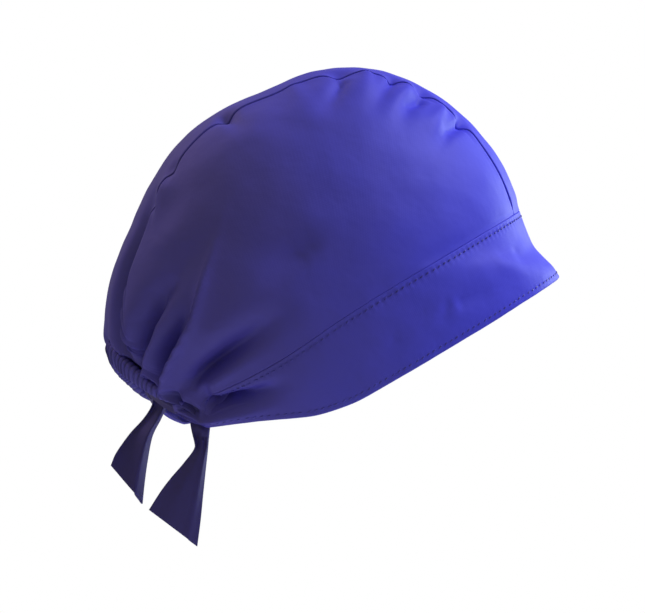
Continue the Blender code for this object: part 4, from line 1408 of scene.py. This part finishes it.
# The second colour is painted shade towards the nape. The ties lie almost wholly in it, and theirs is darker
# still: painted shade for the deep shadow at the nape.
crown_poplin = poplin("poplin_crown", "#4548e0", "#4e48ab", 0.60, 0.06)
band_poplin = poplin("poplin_band", "#4548e0", "#4e48ab", 0.60, 0.06)
tie_poplin_shaded = poplin("poplin_tie_shaded", "#4548e0", "#352f76", 0.60, 0.06)


def polyester_thread(name, colour):
    """Spun polyester sewing thread, glossier than the cloth and a little darker: the darkness is painted
    shade of the needle holes.
    """
    made = bpy.data.materials.new(name)
    made.use_nodes = True
    tree = made.node_tree
    tree.nodes.clear()
    place = add_node(tree, "ShaderNodeTexCoord").outputs["Object"]
    # the twist of the thread: bands half a millimetre apart
    twist = add_node(tree, "ShaderNodeTexNoise", {"Vector": place}, Scale=2000.0, Detail=1.0)
    relief = add_node(tree, "ShaderNodeBump", {"Height": twist.outputs["Fac"]}, Strength=0.2, Distance=0.0002)
    shader = add_node(tree, "ShaderNodeBsdfPrincipled", {"Normal": relief.outputs[0]}, Roughness=0.45)
    shader.inputs["Base Color"].default_value = linear(colour)
    shader.inputs["IOR"].default_value = 1.55
    add_node(tree, "ShaderNodeOutputMaterial", {"Surface": shader.outputs[0]})
    return made


thread = polyester_thread("polyester_thread", "#3b38a8")

# %% [markdown]
# ## Put each piece in place
# Every piece rides on the cap's one body and stands in for the solid in the same place, which is hidden.
# Cloth pieces keep the flat shape they were cut to in their cloth coordinates.

# %% Riding and replacing cloth
DRESSED = [
    (band, "front_band", "band_cloth", band_poplin),
    (panel_right, "side_panel_right", "crown_cloth", crown_poplin),
    (panel_left, "side_panel_left", "crown_cloth", crown_poplin),
    (strip, "centre_panel", "crown_cloth", crown_poplin),
    (casing, "elastic_casing", "crown_cloth", crown_poplin),
    (tie_cloth_right, "tie_right", "tie_cloth", tie_poplin_shaded),
    (tie_cloth_left, "tie_left", "tie_cloth", tie_poplin_shaded),
    (knot, "tie_knot", "tie_cloth", tie_poplin_shaded),
    (tail_right, "tail_right", "tie_cloth", tie_poplin_shaded),
    (tail_left, "tail_left", "tie_cloth", tie_poplin_shaded),
]
for piece, node, slot, finish in DRESSED:
    piece.data.materials.append(finish)
    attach(piece, "root")
    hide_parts(node)
for piece in (seam_stitches, hem_stitches):
    piece.data.materials.append(thread)
    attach(piece, "root")

# %% [markdown]
# ## Light and floor
# The photo's light comes mostly from in front of the forehead and above, so the back of the cap falls into
# shade. A broad key light does that. A second light on the hidden side and a weak violet one from behind
# keep the folds readable. The world shows plain white to the camera and gives the cloth a weak, slightly
# warm light that grows from the floor upwards.


# %% Studio
def area_light(name, place, energy, size, colour):
    data = bpy.data.lights.new(name, "AREA")
    data.shape = "DISK"
    data.size = size
    data.energy = energy
    data.color = linear(colour)[:3]
    light = bpy.data.objects.new(name, data)
    light.location = place
    light.rotation_euler = (Vector(place) - TARGET).to_track_quat("Z", "Y").to_euler()
    bpy.context.collection.objects.link(light)


area_light("key", (1.057, -0.293, 1.167), 21.5, 0.7, "#cacbff")
area_light("far_side", (1.329, 0.788, 0.314), 12.0, 0.7, "#e7f6ff")
area_light("behind", (-0.902, 0.867, 1.065), 4.2, 0.7, "#b99cff")

world = bpy.data.worlds.new("studio")
bpy.context.scene.world = world
world.use_nodes = True
sky = world.node_tree
sky.nodes.clear()
seen = add_node(sky, "ShaderNodeLightPath")
way = add_node(sky, "ShaderNodeTexCoord").outputs["Generated"]
height = add_node(sky, "ShaderNodeSeparateXYZ", {0: way}).outputs["Z"]
from_above = add_node(sky, "ShaderNodeMapRange", {"Value": height})
for socket, value in (("From Min", -1.0), ("From Max", 1.0), ("To Min", 0.12), ("To Max", 0.42)):
    from_above.inputs[socket].default_value = value
dim = add_node(sky, "ShaderNodeBackground", {"Strength": from_above.outputs[0]})
dim.inputs["Color"].default_value = linear("#fff4ce")
white = add_node(sky, "ShaderNodeBackground", Strength=1.0)
white.inputs["Color"].default_value = (1.0, 1.0, 1.0, 1.0)
both = sky.nodes.new("ShaderNodeMixShader")
sky.links.new(seen.outputs["Is Camera Ray"], both.inputs[0])
sky.links.new(dim.outputs[0], both.inputs[1])
sky.links.new(white.outputs[0], both.inputs[2])
add_node(sky, "ShaderNodeOutputWorld", {"Surface": both.outputs[0]})
bpy.context.scene.view_settings.view_transform = "Standard"

FLOOR_DROP = 0.25
floor_mesh = bmesh.new()
bmesh.ops.create_circle(floor_mesh, cap_ends=True, segments=96, radius=0.5)
bmesh.ops.translate(floor_mesh, verts=floor_mesh.verts, vec=(TARGET.x, 0.0, -FLOOR_DROP))
floor = finished("floor", floor_mesh)
pale = bpy.data.materials.new("pale_floor")
pale.use_nodes = True
pale.node_tree.nodes["Principled BSDF"].inputs["Base Color"].default_value = linear("#f2f2f4")
pale.node_tree.nodes["Principled BSDF"].inputs["Roughness"].default_value = 0.8
floor.data.materials.append(pale)
print("lights and floor are in place")
